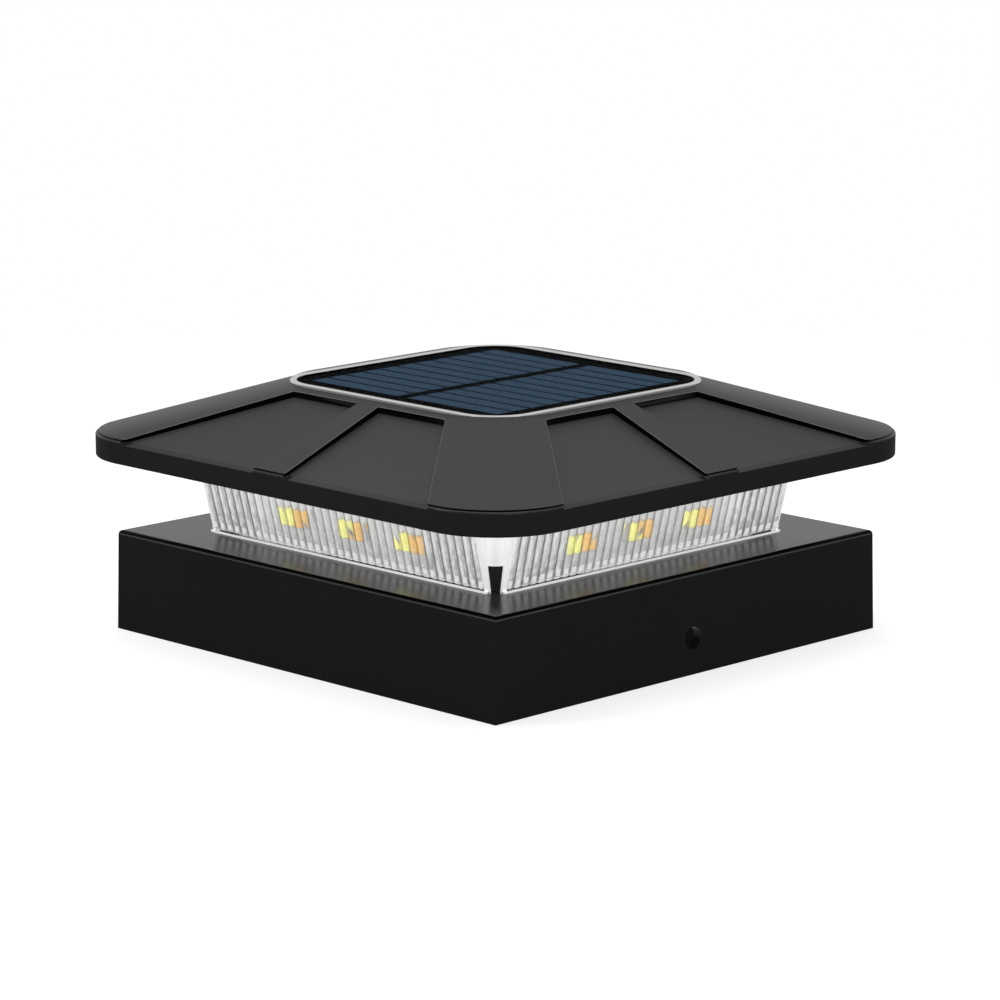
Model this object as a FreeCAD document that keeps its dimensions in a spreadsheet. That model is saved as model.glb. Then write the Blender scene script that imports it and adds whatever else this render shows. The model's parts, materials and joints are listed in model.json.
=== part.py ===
import FreeCAD, Part
import Sketcher
import math
import os
import re

# Deck post cap light: a square solar cap that drops over the top of a deck post.
# Millimetres, +Z up, origin in the middle of the skirt's lower edge.
# The camera side of the light is the corner between the front (-Y) and the right (+X) faces.

doc = FreeCAD.newDocument("PostCapLight")

# ---------------------------------------------------------------- driving sizes
# The strips in one column of the solar panel.
cell_rows = 11

sizes = {
    # how far a cutting tool runs past the faces that it cuts
    "overrun": 1.0,
    # base skirt that slips over the post
    "base_width": 155.0,
    "base_height": 29.4,
    "base_draft": 0.5,
    "base_wall": 2.5,
    "base_plate": 2.5,
    "base_edge_round": 1.2,
    "side_hole_diameter": 6.5,
    "side_hole_height": 10.4,
    "stop_depth": 3.5,
    "stop_inset": 9.0,
    "stop_wall": 2.5,
    "boss_gap": 0.2,
    "boss_diameter": 6.0,
    "boss_height": 7.4,
    # clear lens between base and roof
    "lens_foot_width": 119.0,
    "lens_foot_cut": 81.7,
    "lens_top_width": 130.8,
    "lens_top_cut": 86.4,
    "lens_wall": 2.0,
    "lens_flange_width": 0.8,
    "lens_flange_height": 1.0,
    "groove_depth": 1.4,
    "gasket_thickness": 0.8,
    "lens_overlap": 1.9,
    # hip roof
    "roof_gap": 22.7,
    "roof_width": 177.0,
    "roof_corner": 23.0,
    "roof_rise": 21.8,
    "roof_wall": 2.3,
    "rim_height": 6.8,
    "rim_round": 0.6,
    "land_inset": 0.6,
    "land_step": 0.45,
    "floor_drop": 0.9,
    "ring_width": 98.0,
    "ring_corner": 23.2,
    "ring_bevel": 0.5,
    "recess_depth": 2.4,
    "panel_top_reach": 50.5,
    "panel_top_half": 31.0,
    "panel_rim_half": 63.0,
    "rib_top_half": 4.1,
    "rib_rim_half": 6.3,
    "lip_width": 4.9,
    "pocket_corner": 12.0,
    "pocket_depth": 2.95,
    "rib_wall": 1.6,
    "rib_clearance": 1.2,
    "rib_set_back": 0.3,
    "roof_boss_spread": 44.0,
    "roof_boss_diameter": 7.0,
    # solar panel
    "fit": 0.15,
    "adhesive_thickness": 0.6,
    "adhesive_width": 4.0,
    "solar_board_thickness": 1.6,
    "cell_thickness": 0.25,
    "cell_field": 75.4,
    "cell_gap": 1.0,
    "cell_column_gap": 4.2,
    "mask_width": 1.2,
    "glaze_thickness": 0.35,
    # white reflector tray
    "tray_plate": 2.0,
    "tray_gap": 1.6,
    "tray_set_back": 3.5,
    "tray_corner_gap": 10.4,
    "tray_wall": 1.6,
    "tray_foot_gap": 0.6,
    "tray_boss_diameter": 6.5,
    "web_thickness": 3.0,
    "standoff_height": 3.0,
    "standoff_diameter": 5.0,
    "standoff_spread": 19.0,
    # light emitting diodes on their four boards
    "led_board_length": 76.0,
    "led_board_height": 14.0,
    "led_board_thickness": 1.0,
    "led_height": 38.5,
    "led_pitch": 24.0,
    "led_pair_pitch": 5.6,
    "led_side": 5.4,
    "led_thickness": 1.4,
    "phosphor_side": 5.0,
    "phosphor_depth": 0.6,
    "socket_width": 8.0,
    "socket_height": 4.0,
    "socket_depth": 3.2,
    # control board
    "board_width": 46.0,
    "board_thickness": 1.6,
    "header_width": 8.0,
    "header_depth": 6.0,
    "header_height": 5.0,
    "side_header_place": 12.5,
    "chip_length": 9.9,
    "chip_width": 3.9,
    "chip_height": 1.5,
    "capacitor_diameter": 6.3,
    "capacitor_height": 7.7,
    "coil_diameter": 7.8,
    "coil_winding_diameter": 6.6,
    "coil_height": 4.5,
    "chip_place": 8.0,
    "chip_leg_width": 0.4,
    "chip_leg_reach": 1.0,
    "chip_leg_pitch": 1.27,
    "capacitor_x": -11.0,
    "capacitor_y": -8.0,
    "coil_x": 11.0,
    "coil_y": -9.0,
    "header_wall": 1.0,
    # rechargeable cell and its compartment
    "cell_diameter": 18.4,
    "cell_length": 65.2,
    "cell_nub_diameter": 6.0,
    "cell_nub_height": 1.2,
    "cell_height": 38.6,
    "cell_place": -18.0,
    "cell_clearance": 0.25,
    "cell_edge_round": 0.8,
    "compartment_length": 76.0,
    "compartment_wall": 1.6,
    "contact_thickness": 0.5,
    "contact_width": 9.0,
    "tail_width": 3.0,
    "tail_length": 4.0,
    "tail_height": 6.0,
    # hinged battery door
    "door_thickness": 1.8,
    "door_gap": 0.8,
    "door_margin": 3.5,
    "door_overlap": 6.0,
    "door_barrel_gap": 1.0,
    "door_lip": 2.0,
    "door_lip_width": 16.0,
    "door_lip_drop": 0.8,
    "seal_width": 2.6,
    "hinge_room": 6.2,
    "barrel_radius": 1.6,
    "barrel_half": 8.0,
    "lug_length": 3.0,
    "lug_gap": 0.3,
    "pin_radius": 0.8,
    "pin_clearance": 0.05,
    "door_rib_thickness": 1.5,
    "door_rib_length": 12.0,
    "door_rib_place": 15.0,
    # mode switch
    "switch_x": -12.5,
    "switch_y": 32.0,
    "switch_length": 16.0,
    "switch_width": 8.0,
    "switch_body_height": 7.0,
    "ear_length": 26.0,
    "ear_thickness": 1.2,
    "ear_hole_place": 10.3,
    "knob_travel": 2.5,
    "knob_side": 3.2,
    "knob_drop": 2.3,
    "slider_length": 6.0,
    "slider_width": 5.0,
    "slider_height": 3.0,
    "slot_clearance": 0.4,
    "slide_clearance": 0.15,
    "terminal_radius": 0.5,
    "terminal_length": 2.4,
    "terminal_pitch": 4.0,
    "grip_width": 0.5,
    "grip_depth": 0.4,
    "grip_pitch": 0.9,
    # screws
    "base_screw_radius": 1.45,
    "base_screw_length": 18.0,
    "base_head_radius": 2.8,
    "tray_screw_radius": 1.2,
    "tray_screw_length": 10.0,
    "tray_head_radius": 2.5,
    "board_screw_radius": 1.0,
    "board_screw_length": 5.5,
    "board_head_radius": 1.9,
    "switch_screw_radius": 0.8,
    "switch_screw_length": 3.2,
    "switch_head_radius": 1.6,
    "thread_clearance": 0.05,
    "hole_clearance": 0.2,
    "screw_end_room": 1.5,
    "cross_width": 0.7,
    # head height, cross depth and cross length as shares of the head
    "head_rise": 0.7,
    "cross_depth": 0.6,
    "cross_reach": 1.1,
    # leads
    "lead_diameter": 1.3,
    "led_lead_diameter": 2.2,
    "lead_hole_room": 0.6,
    "lead_spacing": 2.2,
    "lead_reach": 2.0,
    "led_lead_set_back": 11.0,
    "solar_lead_set_out": 10.0,
    "battery_lead_rise": 12.0,
    "battery_lead_swing": 14.0,
    "battery_lead_drift": 17.0,
    "battery_lead_lift": 4.0,
}

# ---------------------------------------------------------------- levels and places worked out from them
places = {
    "base_half": "base_width / 2",
    "pocket_half": "base_half - base_wall",
    "plate_under": "base_height - base_plate",
    "stop_face": "plate_under - stop_depth",
    "boss_top": "base_height + boss_height",
    "boss_spread": "(min(lens_foot_cut; lens_top_cut) - lens_wall - boss_gap - boss_diameter / 2) / sqrt(2)",
    "groove_floor": "base_height - groove_depth",
    "foot_half": "lens_foot_width / 2",
    "foot_low": "groove_floor + gasket_thickness",
    "foot_high": "base_height + lens_flange_height",
    "lens_half": "lens_top_width / 2",
    "rim_low": "base_height + roof_gap",
    "lens_high": "rim_low + lens_overlap",
    "web_low": "lens_high + gasket_thickness",
    "roof_half": "roof_width / 2",
    "rim_high": "rim_low + rim_height",
    "floor_edge": "rim_high - floor_drop",
    "land_half": "roof_half - land_inset",
    "land_low": "rim_high + land_step",
    "roof_top": "rim_low + roof_rise",
    "ring_half": "ring_width / 2",
    "floor_slope": "(roof_top - recess_depth - floor_edge) / (roof_half - ring_half)",
    "hollow_half": "roof_half - roof_wall",
    "hollow_low": "floor_edge + floor_slope * roof_wall - roof_wall",
    "pocket_floor": "roof_top - pocket_depth",
    "hollow_high": "pocket_floor - roof_wall",
    "hollow_top_half": "hollow_half - (hollow_high - hollow_low) / floor_slope",
    "panel_half": "ring_half - lip_width",
    "channel_out": "lens_half + rib_clearance + rib_wall",
    "channel_out_cut": "lens_top_cut + rib_clearance + rib_wall",
    "channel_in": "lens_half - lens_wall - rib_clearance",
    "channel_in_cut": "lens_top_cut - lens_wall - rib_clearance",
    "rib_low": "rim_low + rib_set_back",
    "solar_low": "pocket_floor + adhesive_thickness",
    "cell_low": "solar_low + solar_board_thickness",
    "glaze_low": "cell_low + cell_thickness",
    "solar_half": "panel_half - fit",
    "cell_pitch": f"cell_field / {cell_rows}",
    "tray_high": "rib_low",
    "tray_under": "tray_high - tray_plate",
    "tray_plate_half": "lens_half - lens_wall - tray_gap",
    "tray_plate_cut": "lens_top_cut - lens_wall - tray_gap",
    "tray_half": "foot_half - lens_wall - tray_set_back",
    "tray_cut": "lens_foot_cut - lens_wall - tray_corner_gap",
    "tray_low": "base_height + tray_foot_gap",
    "tray_boss_low": "boss_top",
    "board_low": "tray_high + standoff_height",
    "board_top": "board_low + board_thickness",
    "led_board_face": "tray_half + led_board_thickness",
    "led_board_low": "led_height - led_board_height / 2",
    "socket_low": "led_board_low + led_board_height - socket_height",
    "socket_mid": "socket_low + socket_height / 2",
    "header_mid": "board_top + header_height / 2",
    "header_mouth": "board_width / 2",
    "compartment_half": "cell_diameter / 2 + cell_clearance",
    "compartment_high": "cell_height + compartment_half",
    "door_high": "plate_under - door_gap",
    "door_low": "door_high - door_thickness",
    "door_mid": "(door_low + door_high) / 2",
    "door_half": "compartment_half + door_margin",
    "door_end": "compartment_length / 2 + door_overlap",
    "hinge_place": "-(compartment_length / 2 + hinge_room)",
    "slider_low": "base_height + slide_clearance",
    "tail_mid": "cell_height + tail_height",
    "tail_lead_place": "compartment_length / 2 + compartment_wall + tail_length - lead_diameter",
}

sheet = doc.addObject("Spreadsheet::Sheet", "Sizes")
levels = doc.addObject("Spreadsheet::Sheet", "Levels")


def spelled(text):
    """An expression in plain size names, with each name led back to its sheet."""
    def owner(match):
        word = match.group(0)
        if word in sizes:
            return "Sizes." + word
        if word in places:
            return "Levels." + word
        return word
    return re.sub(r"[a-z][a-z_0-9]*", owner, str(text))


for row, (name, value) in enumerate(sizes.items(), start=1):
    sheet.set(f"A{row}", name)
    sheet.set(f"B{row}", str(value))
    sheet.setAlias(f"B{row}", name)
doc.recompute()
for row, (name, formula) in enumerate(places.items(), start=1):
    levels.set(f"A{row}", name)
    levels.setAlias(f"B{row}", name)
    levels.set(f"B{row}", "=" + spelled(formula))
doc.recompute()


def number(name):
    """The value of one size or level, for the routes of the leads."""
    return float(getattr(sheet if name in sizes else levels, name))


def bind(thing, **formulas):
    """Tie properties to the sheets; x, y and z stand for the placement's base."""
    for prop, formula in formulas.items():
        path = "Placement.Base." + prop if prop in ("x", "y", "z") else prop
        thing.setExpression(path, spelled(formula))
    return thing


# ---------------------------------------------------------------- plain building blocks
def block(name, length, width, height, x=0, y=0, z=0):
    """A box centred on x and y that stands on z."""
    box = doc.addObject("Part::Box", name)
    return bind(box, Length=length, Width=width, Height=height,
                x=f"({x}) - ({length}) / 2", y=f"({y}) - ({width}) / 2", z=z)


directions = {
    "x": FreeCAD.Rotation(FreeCAD.Vector(0, 1, 0), 90),
    "y": FreeCAD.Rotation(FreeCAD.Vector(1, 0, 0), -90),
    "z": FreeCAD.Rotation(),
}


def rod(name, radius, length, x=0, y=0, z=0, along="z"):
    """A cylinder that starts at x, y, z and runs along one axis."""
    cylinder = doc.addObject("Part::Cylinder", name)
    cylinder.Placement = FreeCAD.Placement(FreeCAD.Vector(), directions[along])
    return bind(cylinder, Radius=radius, Height=length, x=x, y=y, z=z)


def cut(name, base, tool):
    feature = doc.addObject("Part::Cut", name)
    feature.Base = base
    feature.Tool = tool
    return feature


def common(name, base, tool):
    feature = doc.addObject("Part::Common", name)
    feature.Base = base
    feature.Tool = tool
    return feature


def fuse(name, pieces):
    feature = doc.addObject("Part::MultiFuse", name)
    feature.Shapes = pieces
    return feature


def group(name, pieces):
    compound = doc.addObject("Part::Compound", name)
    compound.Links = pieces
    return compound


def turned(name, piece, angle):
    """A copy of a piece turned about the light's vertical axis."""
    compound = group(name, [piece])
    compound.Placement = FreeCAD.Placement(FreeCAD.Vector(), FreeCAD.Rotation(FreeCAD.Vector(0, 0, 1), angle))
    return compound


def around(name, piece, angles=(0, 90, 180, 270)):
    """Copies of a piece on the four sides or at the four corners."""
    return [turned(f"{name}_{angle}", piece, angle) for angle in angles]


def frustum(name, half_low, half_high, low, high, turn=0):
    """A square block that may taper, centred on the vertical axis."""
    wedge = doc.addObject("Part::Wedge", name)
    upright = FreeCAD.Rotation(FreeCAD.Vector(1, 0, 0), 90)
    spin = FreeCAD.Rotation(FreeCAD.Vector(0, 0, 1), turn)
    wedge.Placement = FreeCAD.Placement(FreeCAD.Vector(), spin.multiply(upright))
    return bind(wedge, Ymin=low, Ymax=high,
                Xmin=f"-({half_low})", Xmax=half_low, Zmin=f"-({half_low})", Zmax=half_low,
                X2min=f"-({half_high})", X2max=half_high, Z2min=f"-({half_high})", Z2max=half_high)


def cut_square(name, half_low, reach_low, half_high, reach_high, low, high):
    """A square block with its corners cut off at a given reach from the axis."""
    square = frustum(name + "_square", half_low, half_high, low, high)
    corners = frustum(name + "_corners", reach_low, reach_high, low, high, turn=45)
    return common(name, square, corners)


def cut_ring(name, outer_half, outer_reach, inner_half, inner_reach, low, high):
    """An upright ring between two squares with cut corners."""
    outer = cut_square(name + "_outer", outer_half, outer_reach, outer_half, outer_reach, low, high)
    inner = cut_square(name + "_inner", inner_half, inner_reach, inner_half, inner_reach, low, high)
    return cut(name, outer, inner)


# ---------------------------------------------------------------- sketches
origin = (-1, 1)


def draw_rounded_square(sketch, half, corner):
    """Four sides and four round corners about the sketch's origin."""
    centre, radius = 30.0, 15.0
    for step in range(4):
        spin = FreeCAD.Rotation(FreeCAD.Vector(0, 0, 1), 90 * step)
        start = spin.multVec(FreeCAD.Vector(centre, centre + radius, 0))
        end = spin.multVec(FreeCAD.Vector(-centre, centre + radius, 0))
        middle = spin.multVec(FreeCAD.Vector(-centre, centre, 0))
        circle = Part.Circle(middle, FreeCAD.Vector(0, 0, 1), radius)
        sketch.addGeometry(Part.LineSegment(start, end))
        first = math.pi / 2 * (step + 1)
        sketch.addGeometry(Part.ArcOfCircle(circle, first, first + math.pi / 2))
    for step in range(4):
        side, arc, following = 2 * step, 2 * step + 1, (2 * step + 2) % 8
        sketch.addConstraint(Sketcher.Constraint("Tangent", side, 2, arc, 1))
        sketch.addConstraint(Sketcher.Constraint("Tangent", arc, 2, following, 1))
        sketch.addConstraint(Sketcher.Constraint("Vertical" if step % 2 else "Horizontal", side))
    for arc in (3, 5, 7):
        sketch.addConstraint(Sketcher.Constraint("Equal", 1, arc))
    sketch.addConstraint(Sketcher.Constraint("Symmetric", 1, 3, 5, 3, *origin))
    wide = sketch.addConstraint(Sketcher.Constraint("DistanceX", 1, 3, 7, 3, 2 * centre))
    deep = sketch.addConstraint(Sketcher.Constraint("DistanceY", 5, 3, 7, 3, 2 * centre))
    bend = sketch.addConstraint(Sketcher.Constraint("Radius", 1, radius))
    span = f"2 * (({half}) - ({corner}))"
    for index, label, formula in ((wide, "wide", span), (deep, "deep", span), (bend, "bend", corner)):
        sketch.renameConstraint(index, label)
        sketch.setExpression("Constraints." + label, spelled(formula))
    return sketch


def draw_square(sketch, half):
    """A square about the sketch's origin."""
    reach = 30.0
    corners = [FreeCAD.Vector(x, y, 0) for x, y in ((-reach, -reach), (reach, -reach), (reach, reach),
                                                    (-reach, reach))]
    for start, end in zip(corners, corners[1:] + corners[:1]):
        sketch.addGeometry(Part.LineSegment(start, end))
    for side in range(4):
        sketch.addConstraint(Sketcher.Constraint("Coincident", side, 2, (side + 1) % 4, 1))
        sketch.addConstraint(Sketcher.Constraint("Vertical" if side % 2 else "Horizontal", side))
    sketch.addConstraint(Sketcher.Constraint("Symmetric", 0, 1, 1, 2, *origin))
    wide = sketch.addConstraint(Sketcher.Constraint("DistanceX", 0, 1, 0, 2, 2 * reach))
    deep = sketch.addConstraint(Sketcher.Constraint("DistanceY", 1, 1, 1, 2, 2 * reach))
    for index, label in ((wide, "wide"), (deep, "deep")):
        sketch.renameConstraint(index, label)
        sketch.setExpression("Constraints." + label, spelled(f"2 * ({half})"))
    return sketch


def draw_circle(sketch, radius):
    """A circle about the sketch's origin."""
    sketch.addGeometry(Part.Circle(FreeCAD.Vector(), FreeCAD.Vector(0, 0, 1), 3.0))
    sketch.addConstraint(Sketcher.Constraint("Coincident", 0, 3, *origin))
    index = sketch.addConstraint(Sketcher.Constraint("Radius", 0, 3.0))
    sketch.renameConstraint(index, "bend")
    sketch.setExpression("Constraints.bend", spelled(radius))
    return sketch


def free_rounded_square(name, half, corner, level):
    """A rounded square that lies level at a height of its own."""
    sketch = doc.addObject("Sketcher::SketchObject", name)
    draw_rounded_square(sketch, half, corner)
    return bind(sketch, z=level)


def raised(name, sketch, height):
    """The upright solid over a level sketch."""
    solid = doc.addObject("Part::Extrusion", name)
    solid.Base = sketch
    solid.DirMode = "Custom"
    solid.Dir = FreeCAD.Vector(0, 0, 1)
    solid.Solid = True
    return bind(solid, LengthFwd=height)


def lofted(name, sketches):
    """A solid with straight sides from sketch to sketch."""
    solid = doc.addObject("Part::Loft", name)
    solid.Sections = sketches
    solid.Solid = True
    solid.Ruled = True
    return solid


def new_body(name):
    return doc.addObject("PartDesign::Body", name)


def sketch_in(body, name, level="0", role="XY_Plane"):
    """A sketch on one of the body's own origin planes, moved out to a level."""
    sketch = body.newObject("Sketcher::SketchObject", name)
    plane = next(item for item in body.Origin.OriginFeatures if item.Role == role)
    sketch.AttachmentSupport = (plane, [""])
    sketch.MapMode = "FlatFace"
    sketch.setExpression("AttachmentOffset.Base.z", spelled(level))
    return sketch


def pad(body, name, sketch, height):
    feature = body.newObject("PartDesign::Pad", name)
    feature.Profile = sketch
    return bind(feature, Length=height)


def edges_where(feature, test):
    """The names of the edges whose two ends both pass a test."""
    names = []
    for index, edge in enumerate(feature.Shape.Edges, start=1):
        if all(test(vertex.Point) for vertex in edge.Vertexes):
            names.append(f"Edge{index}")
    return names


def round_edges(feature):
    """The names of the edges that are circles."""
    return [f"Edge{index}" for index, edge in enumerate(feature.Shape.Edges, start=1)
            if isinstance(edge.Curve, Part.Circle)]


def rounded(body, name, feature, edges, radius):
    fillet = body.newObject("PartDesign::Fillet", name)
    fillet.Base = (feature, edges)
    return bind(fillet, Radius=radius)


nodes = []


def node(name, piece):
    """Name a finished sub-part; its file takes this name."""
    piece.Label = name
    nodes.append(piece)
    return piece


# ---------------------------------------------------------------- hip roof
def make_roof():
    rim = new_body("roof_rim")
    outline = draw_rounded_square(sketch_in(rim, "rim_outline", "rim_low"), "roof_half", "roof_corner")
    band = pad(rim, "rim_band", outline, "rim_height")
    doc.recompute()
    flat = {number("rim_low"), number("rim_high")}
    level_edges = [edge for height in sorted(flat)
                   for edge in edges_where(band, lambda point: abs(point.z - height) < 1e-4)]
    rounded(rim, "rim_rounding", band, level_edges, "rim_round")

    # Raised lands run from the rim's top to the flat ring.
    foot = free_rounded_square("land_foot", "land_half", "roof_corner", "land_low")
    shoulder = free_rounded_square("ring_shoulder", "ring_half", "ring_corner", "roof_top - ring_bevel")
    crown = free_rounded_square("ring_crown", "ring_half - ring_bevel", "ring_corner - ring_bevel",
                                "roof_top")
    slopes = lofted("land_slopes", [foot, shoulder, crown])
    skirt_outline = free_rounded_square("land_skirt_outline", "land_half", "roof_corner",
                                        "rim_low + rim_round")
    skirt = raised("land_skirt", skirt_outline, "land_low - rim_low - rim_round")
    outer = fuse("roof_outer", [rim, skirt, slopes])

    # Two shallow recessed panels on each face, with a rib between them; they run out over the rim.
    beyond, reach = "roof_half + 4 * overrun", "(roof_half + 6 * overrun)"
    floor_foot = f"floor_edge - floor_slope * ({reach} - roof_half)"
    spread = f"({beyond} - panel_top_reach) / (roof_half - panel_top_reach)"
    near, far = "rib_top_half", "panel_top_half"
    near_out = f"rib_top_half + (rib_rim_half - rib_top_half) * {spread}"
    far_out = f"panel_top_half + (panel_rim_half - panel_top_half) * {spread}"
    tools = []
    for side, low, high, low_out, high_out in (
            ("a", near, far, near_out, far_out),
            ("b", f"-({far})", f"-({near})", f"-({far_out})", f"-({near_out})")):
        panel = doc.addObject("Part::Wedge", "panel_" + side)
        bind(panel, Ymin="panel_top_reach", Ymax=beyond, Xmin=low, Xmax=high, X2min=low_out, X2max=high_out,
             Zmin=floor_foot, Zmax="roof_top + overrun", Z2min=floor_foot, Z2max="roof_top + overrun")
        tools += around("panel_" + side, panel)
    floor = frustum("recess_floor", reach, "panel_half", floor_foot,
                    "floor_edge + floor_slope * (roof_half - panel_half)")
    recess = cut("panel_recess", fuse("panel_tools", tools), floor)
    carved = cut("roof_carved", outer, recess)

    # Hollow inside, with the floor's slope, so that the wall stays even.
    skirt_hollow = free_rounded_square("hollow_foot", "hollow_half", "roof_corner - roof_wall",
                                       "rim_low - overrun")
    upright = raised("hollow_upright", skirt_hollow, "hollow_low - rim_low + overrun")
    hollow_edge = free_rounded_square("hollow_edge", "hollow_half", "roof_corner - roof_wall", "hollow_low")
    hollow_crown = free_rounded_square("hollow_crown", "hollow_top_half", "ring_corner - roof_wall",
                                       "hollow_high")
    hollow = fuse("roof_hollow", [upright, lofted("hollow_slopes", [hollow_edge, hollow_crown])])
    shell = cut("roof_skin", carved, hollow)

    # Channel for the lens's top edge, and four bosses for the tray screws.
    outer_rib = cut_ring("outer_rib", "channel_out", "channel_out_cut", "channel_out - rib_wall",
                         "channel_out_cut - rib_wall", "rib_low", "roof_top")
    inner_rib = cut_ring("inner_rib", "channel_in", "channel_in_cut", "channel_in - rib_wall",
                         "channel_in_cut - rib_wall", "rib_low", "roof_top")
    web = cut_ring("channel_web", "channel_out", "channel_out_cut", "channel_in - rib_wall",
                   "channel_in_cut - rib_wall", "web_low", "web_low + rib_wall")
    boss = rod("roof_boss", "roof_boss_diameter / 2", "roof_top - rib_low",
               "roof_boss_spread", "roof_boss_spread", "rib_low")
    inner_parts = fuse("roof_ribs", [outer_rib, inner_rib, web] + around("roof_boss", boss))
    kept = common("roof_ribs_kept", inner_parts, carved)

    # Pocket for the solar panel, pilot holes, and the hole for the panel's two leads.
    pocket_outline = free_rounded_square("pocket_outline", "panel_half", "pocket_corner", "pocket_floor")
    pocket = raised("solar_pocket", pocket_outline, "pocket_depth + overrun")
    pilot = rod("roof_pilot", "tray_screw_radius + thread_clearance", "tray_screw_length + screw_end_room",
                "roof_boss_spread", "roof_boss_spread", "rib_low - overrun")
    passage = rod("solar_passage", "lead_diameter * 2", "roof_wall + 2 * overrun", "side_header_place",
                  "header_mouth + solar_lead_set_out", "hollow_high - overrun")
    holes = fuse("roof_holes", [pocket, passage] + around("roof_pilot", pilot))
    node("roof_shell", cut("roof", fuse("roof_joined", [shell, kept]), holes))


# ---------------------------------------------------------------- solar panel
def make_solar_panel():
    floor_corner = "pocket_corner - fit"
    outline = free_rounded_square("adhesive_outline", "solar_half", floor_corner, "pocket_floor")
    inside = free_rounded_square("adhesive_inside", "solar_half - adhesive_width",
                                 "pocket_corner - fit - adhesive_width", "pocket_floor")
    bead = cut("adhesive_bead", raised("adhesive_out", outline, "adhesive_thickness"),
               raised("adhesive_in", inside, "adhesive_thickness"))
    node("panel_adhesive", bead)

    board_outline = free_rounded_square("solar_outline", "solar_half", floor_corner, "solar_low")
    node("solar_board", raised("solar_plate", board_outline, "solar_board_thickness"))

    cells = []
    for row in range(cell_rows):
        for side in (-1, 1):
            cells.append(block(
                f"cell_{row}_{'left' if side < 0 else 'right'}",
                "(cell_field - cell_column_gap) / 2", "cell_pitch - cell_gap", "cell_thickness",
                x=f"{side} * (cell_field + cell_column_gap) / 4", y=f"{row - cell_rows // 2} * cell_pitch",
                z="cell_low"))
    mask = free_rounded_square("mask_outline", "solar_half - mask_width", "pocket_corner - fit - mask_width",
                               "cell_low")
    strips = common("cell_strips", group("cell_field", cells), raised("mask", mask, "cell_thickness"))
    node("solar_cells", strips)

    glaze_outline = free_rounded_square("glaze_outline", "solar_half", floor_corner, "glaze_low")
    node("solar_glaze", raised("glaze_plate", glaze_outline, "glaze_thickness"))


# ---------------------------------------------------------------- lens and its gaskets
def make_lens():
    wall = cut("lens_body",
               cut_square("lens_out", "foot_half", "lens_foot_cut", "lens_half", "lens_top_cut",
                          "foot_high", "lens_high"),
               cut_square("lens_in", "foot_half - lens_wall", "lens_foot_cut - lens_wall",
                          "lens_half - lens_wall", "lens_top_cut - lens_wall", "foot_high", "lens_high"))
    foot = cut_ring("lens_foot", "foot_half", "lens_foot_cut", "foot_half - lens_wall",
                    "lens_foot_cut - lens_wall", "foot_low", "foot_high")
    flange = cut_ring("lens_flange", "foot_half + lens_flange_width", "lens_foot_cut + lens_flange_width",
                      "foot_half - lens_wall", "lens_foot_cut - lens_wall", "base_height", "foot_high")
    node("lens", fuse("lens_joined", [wall, foot, flange]))
    node("lower_gasket", cut_ring("foot_seal", "foot_half", "lens_foot_cut", "foot_half - lens_wall",
                                  "lens_foot_cut - lens_wall", "groove_floor", "foot_low"))
    node("upper_gasket", cut_ring("head_seal", "lens_half + rib_clearance - fit",
                                  "lens_top_cut + rib_clearance - fit",
                                  "channel_in + fit", "channel_in_cut + fit", "lens_high", "web_low"))


# ---------------------------------------------------------------- white reflector tray
def make_tray():
    plate = cut_square("tray_top", "tray_plate_half", "tray_plate_cut", "tray_plate_half",
                       "tray_plate_cut", "tray_under", "tray_high")
    walls = cut_ring("tray_walls", "tray_half", "tray_cut", "tray_half - tray_wall", "tray_cut - tray_wall",
                     "tray_low", "tray_under")
    boss = rod("tray_boss", "tray_boss_diameter / 2", "tray_under - tray_boss_low",
               "boss_spread", "boss_spread", "tray_boss_low")
    web = block("tray_web", "boss_spread * sqrt(2) - tray_cut + tray_wall / 2", "web_thickness",
                "tray_under - tray_boss_low", x="(boss_spread * sqrt(2) + tray_cut - tray_wall / 2) / 2",
                z="tray_boss_low")
    standoff = rod("standoff", "standoff_diameter / 2", "standoff_height",
                   "standoff_spread", "standoff_spread", "tray_high")
    solid = fuse("tray_solid", [plate, walls] + around("tray_boss", boss)
                 + around("tray_web", web, (45, 135, 225, 315)) + around("standoff", standoff))

    window = block("socket_window", "tray_wall * 3", "socket_width + 2 * fit", "socket_height + 2 * fit",
                   x="tray_half", z="socket_low - fit")
    lead_hole = rod("led_lead_hole", "led_lead_diameter / 2 + lead_hole_room", "tray_plate + 2 * overrun",
                    "tray_half - led_lead_set_back", 0, "tray_under - overrun")
    pilot = rod("tray_pilot", "base_screw_radius + thread_clearance",
                "base_screw_length - (boss_top - plate_under) + screw_end_room",
                "boss_spread", "boss_spread", "tray_boss_low")
    clear = rod("tray_screw_hole", "tray_screw_radius + hole_clearance", "tray_plate + 2 * overrun",
                "roof_boss_spread", "roof_boss_spread", "tray_under - overrun")
    board_pilot = rod("board_pilot", "board_screw_radius + thread_clearance",
                      "standoff_height + tray_plate / 2", "standoff_spread", "standoff_spread",
                      "tray_high - tray_plate / 2")
    holes = []
    for name, hole in (("window", window), ("lead_hole", lead_hole), ("tray_pilot", pilot),
                       ("tray_clear", clear), ("board_pilot", board_pilot)):
        holes += around(name, hole)
    for name, x in (("plus", "tail_lead_place"), ("minus", "-tail_lead_place")):
        holes.append(rod("battery_hole_" + name, "lead_diameter / 2 + lead_hole_room",
                         "tray_plate + 2 * overrun", x, "cell_place", "tray_under - overrun"))
    holes.append(rod("switch_lead_hole", "led_lead_diameter / 2 + lead_hole_room", "tray_plate + 2 * overrun",
                     "switch_x", "switch_y", "tray_under - overrun"))
    node("reflector_tray", cut("tray", solid, fuse("tray_holes", holes)))


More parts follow.
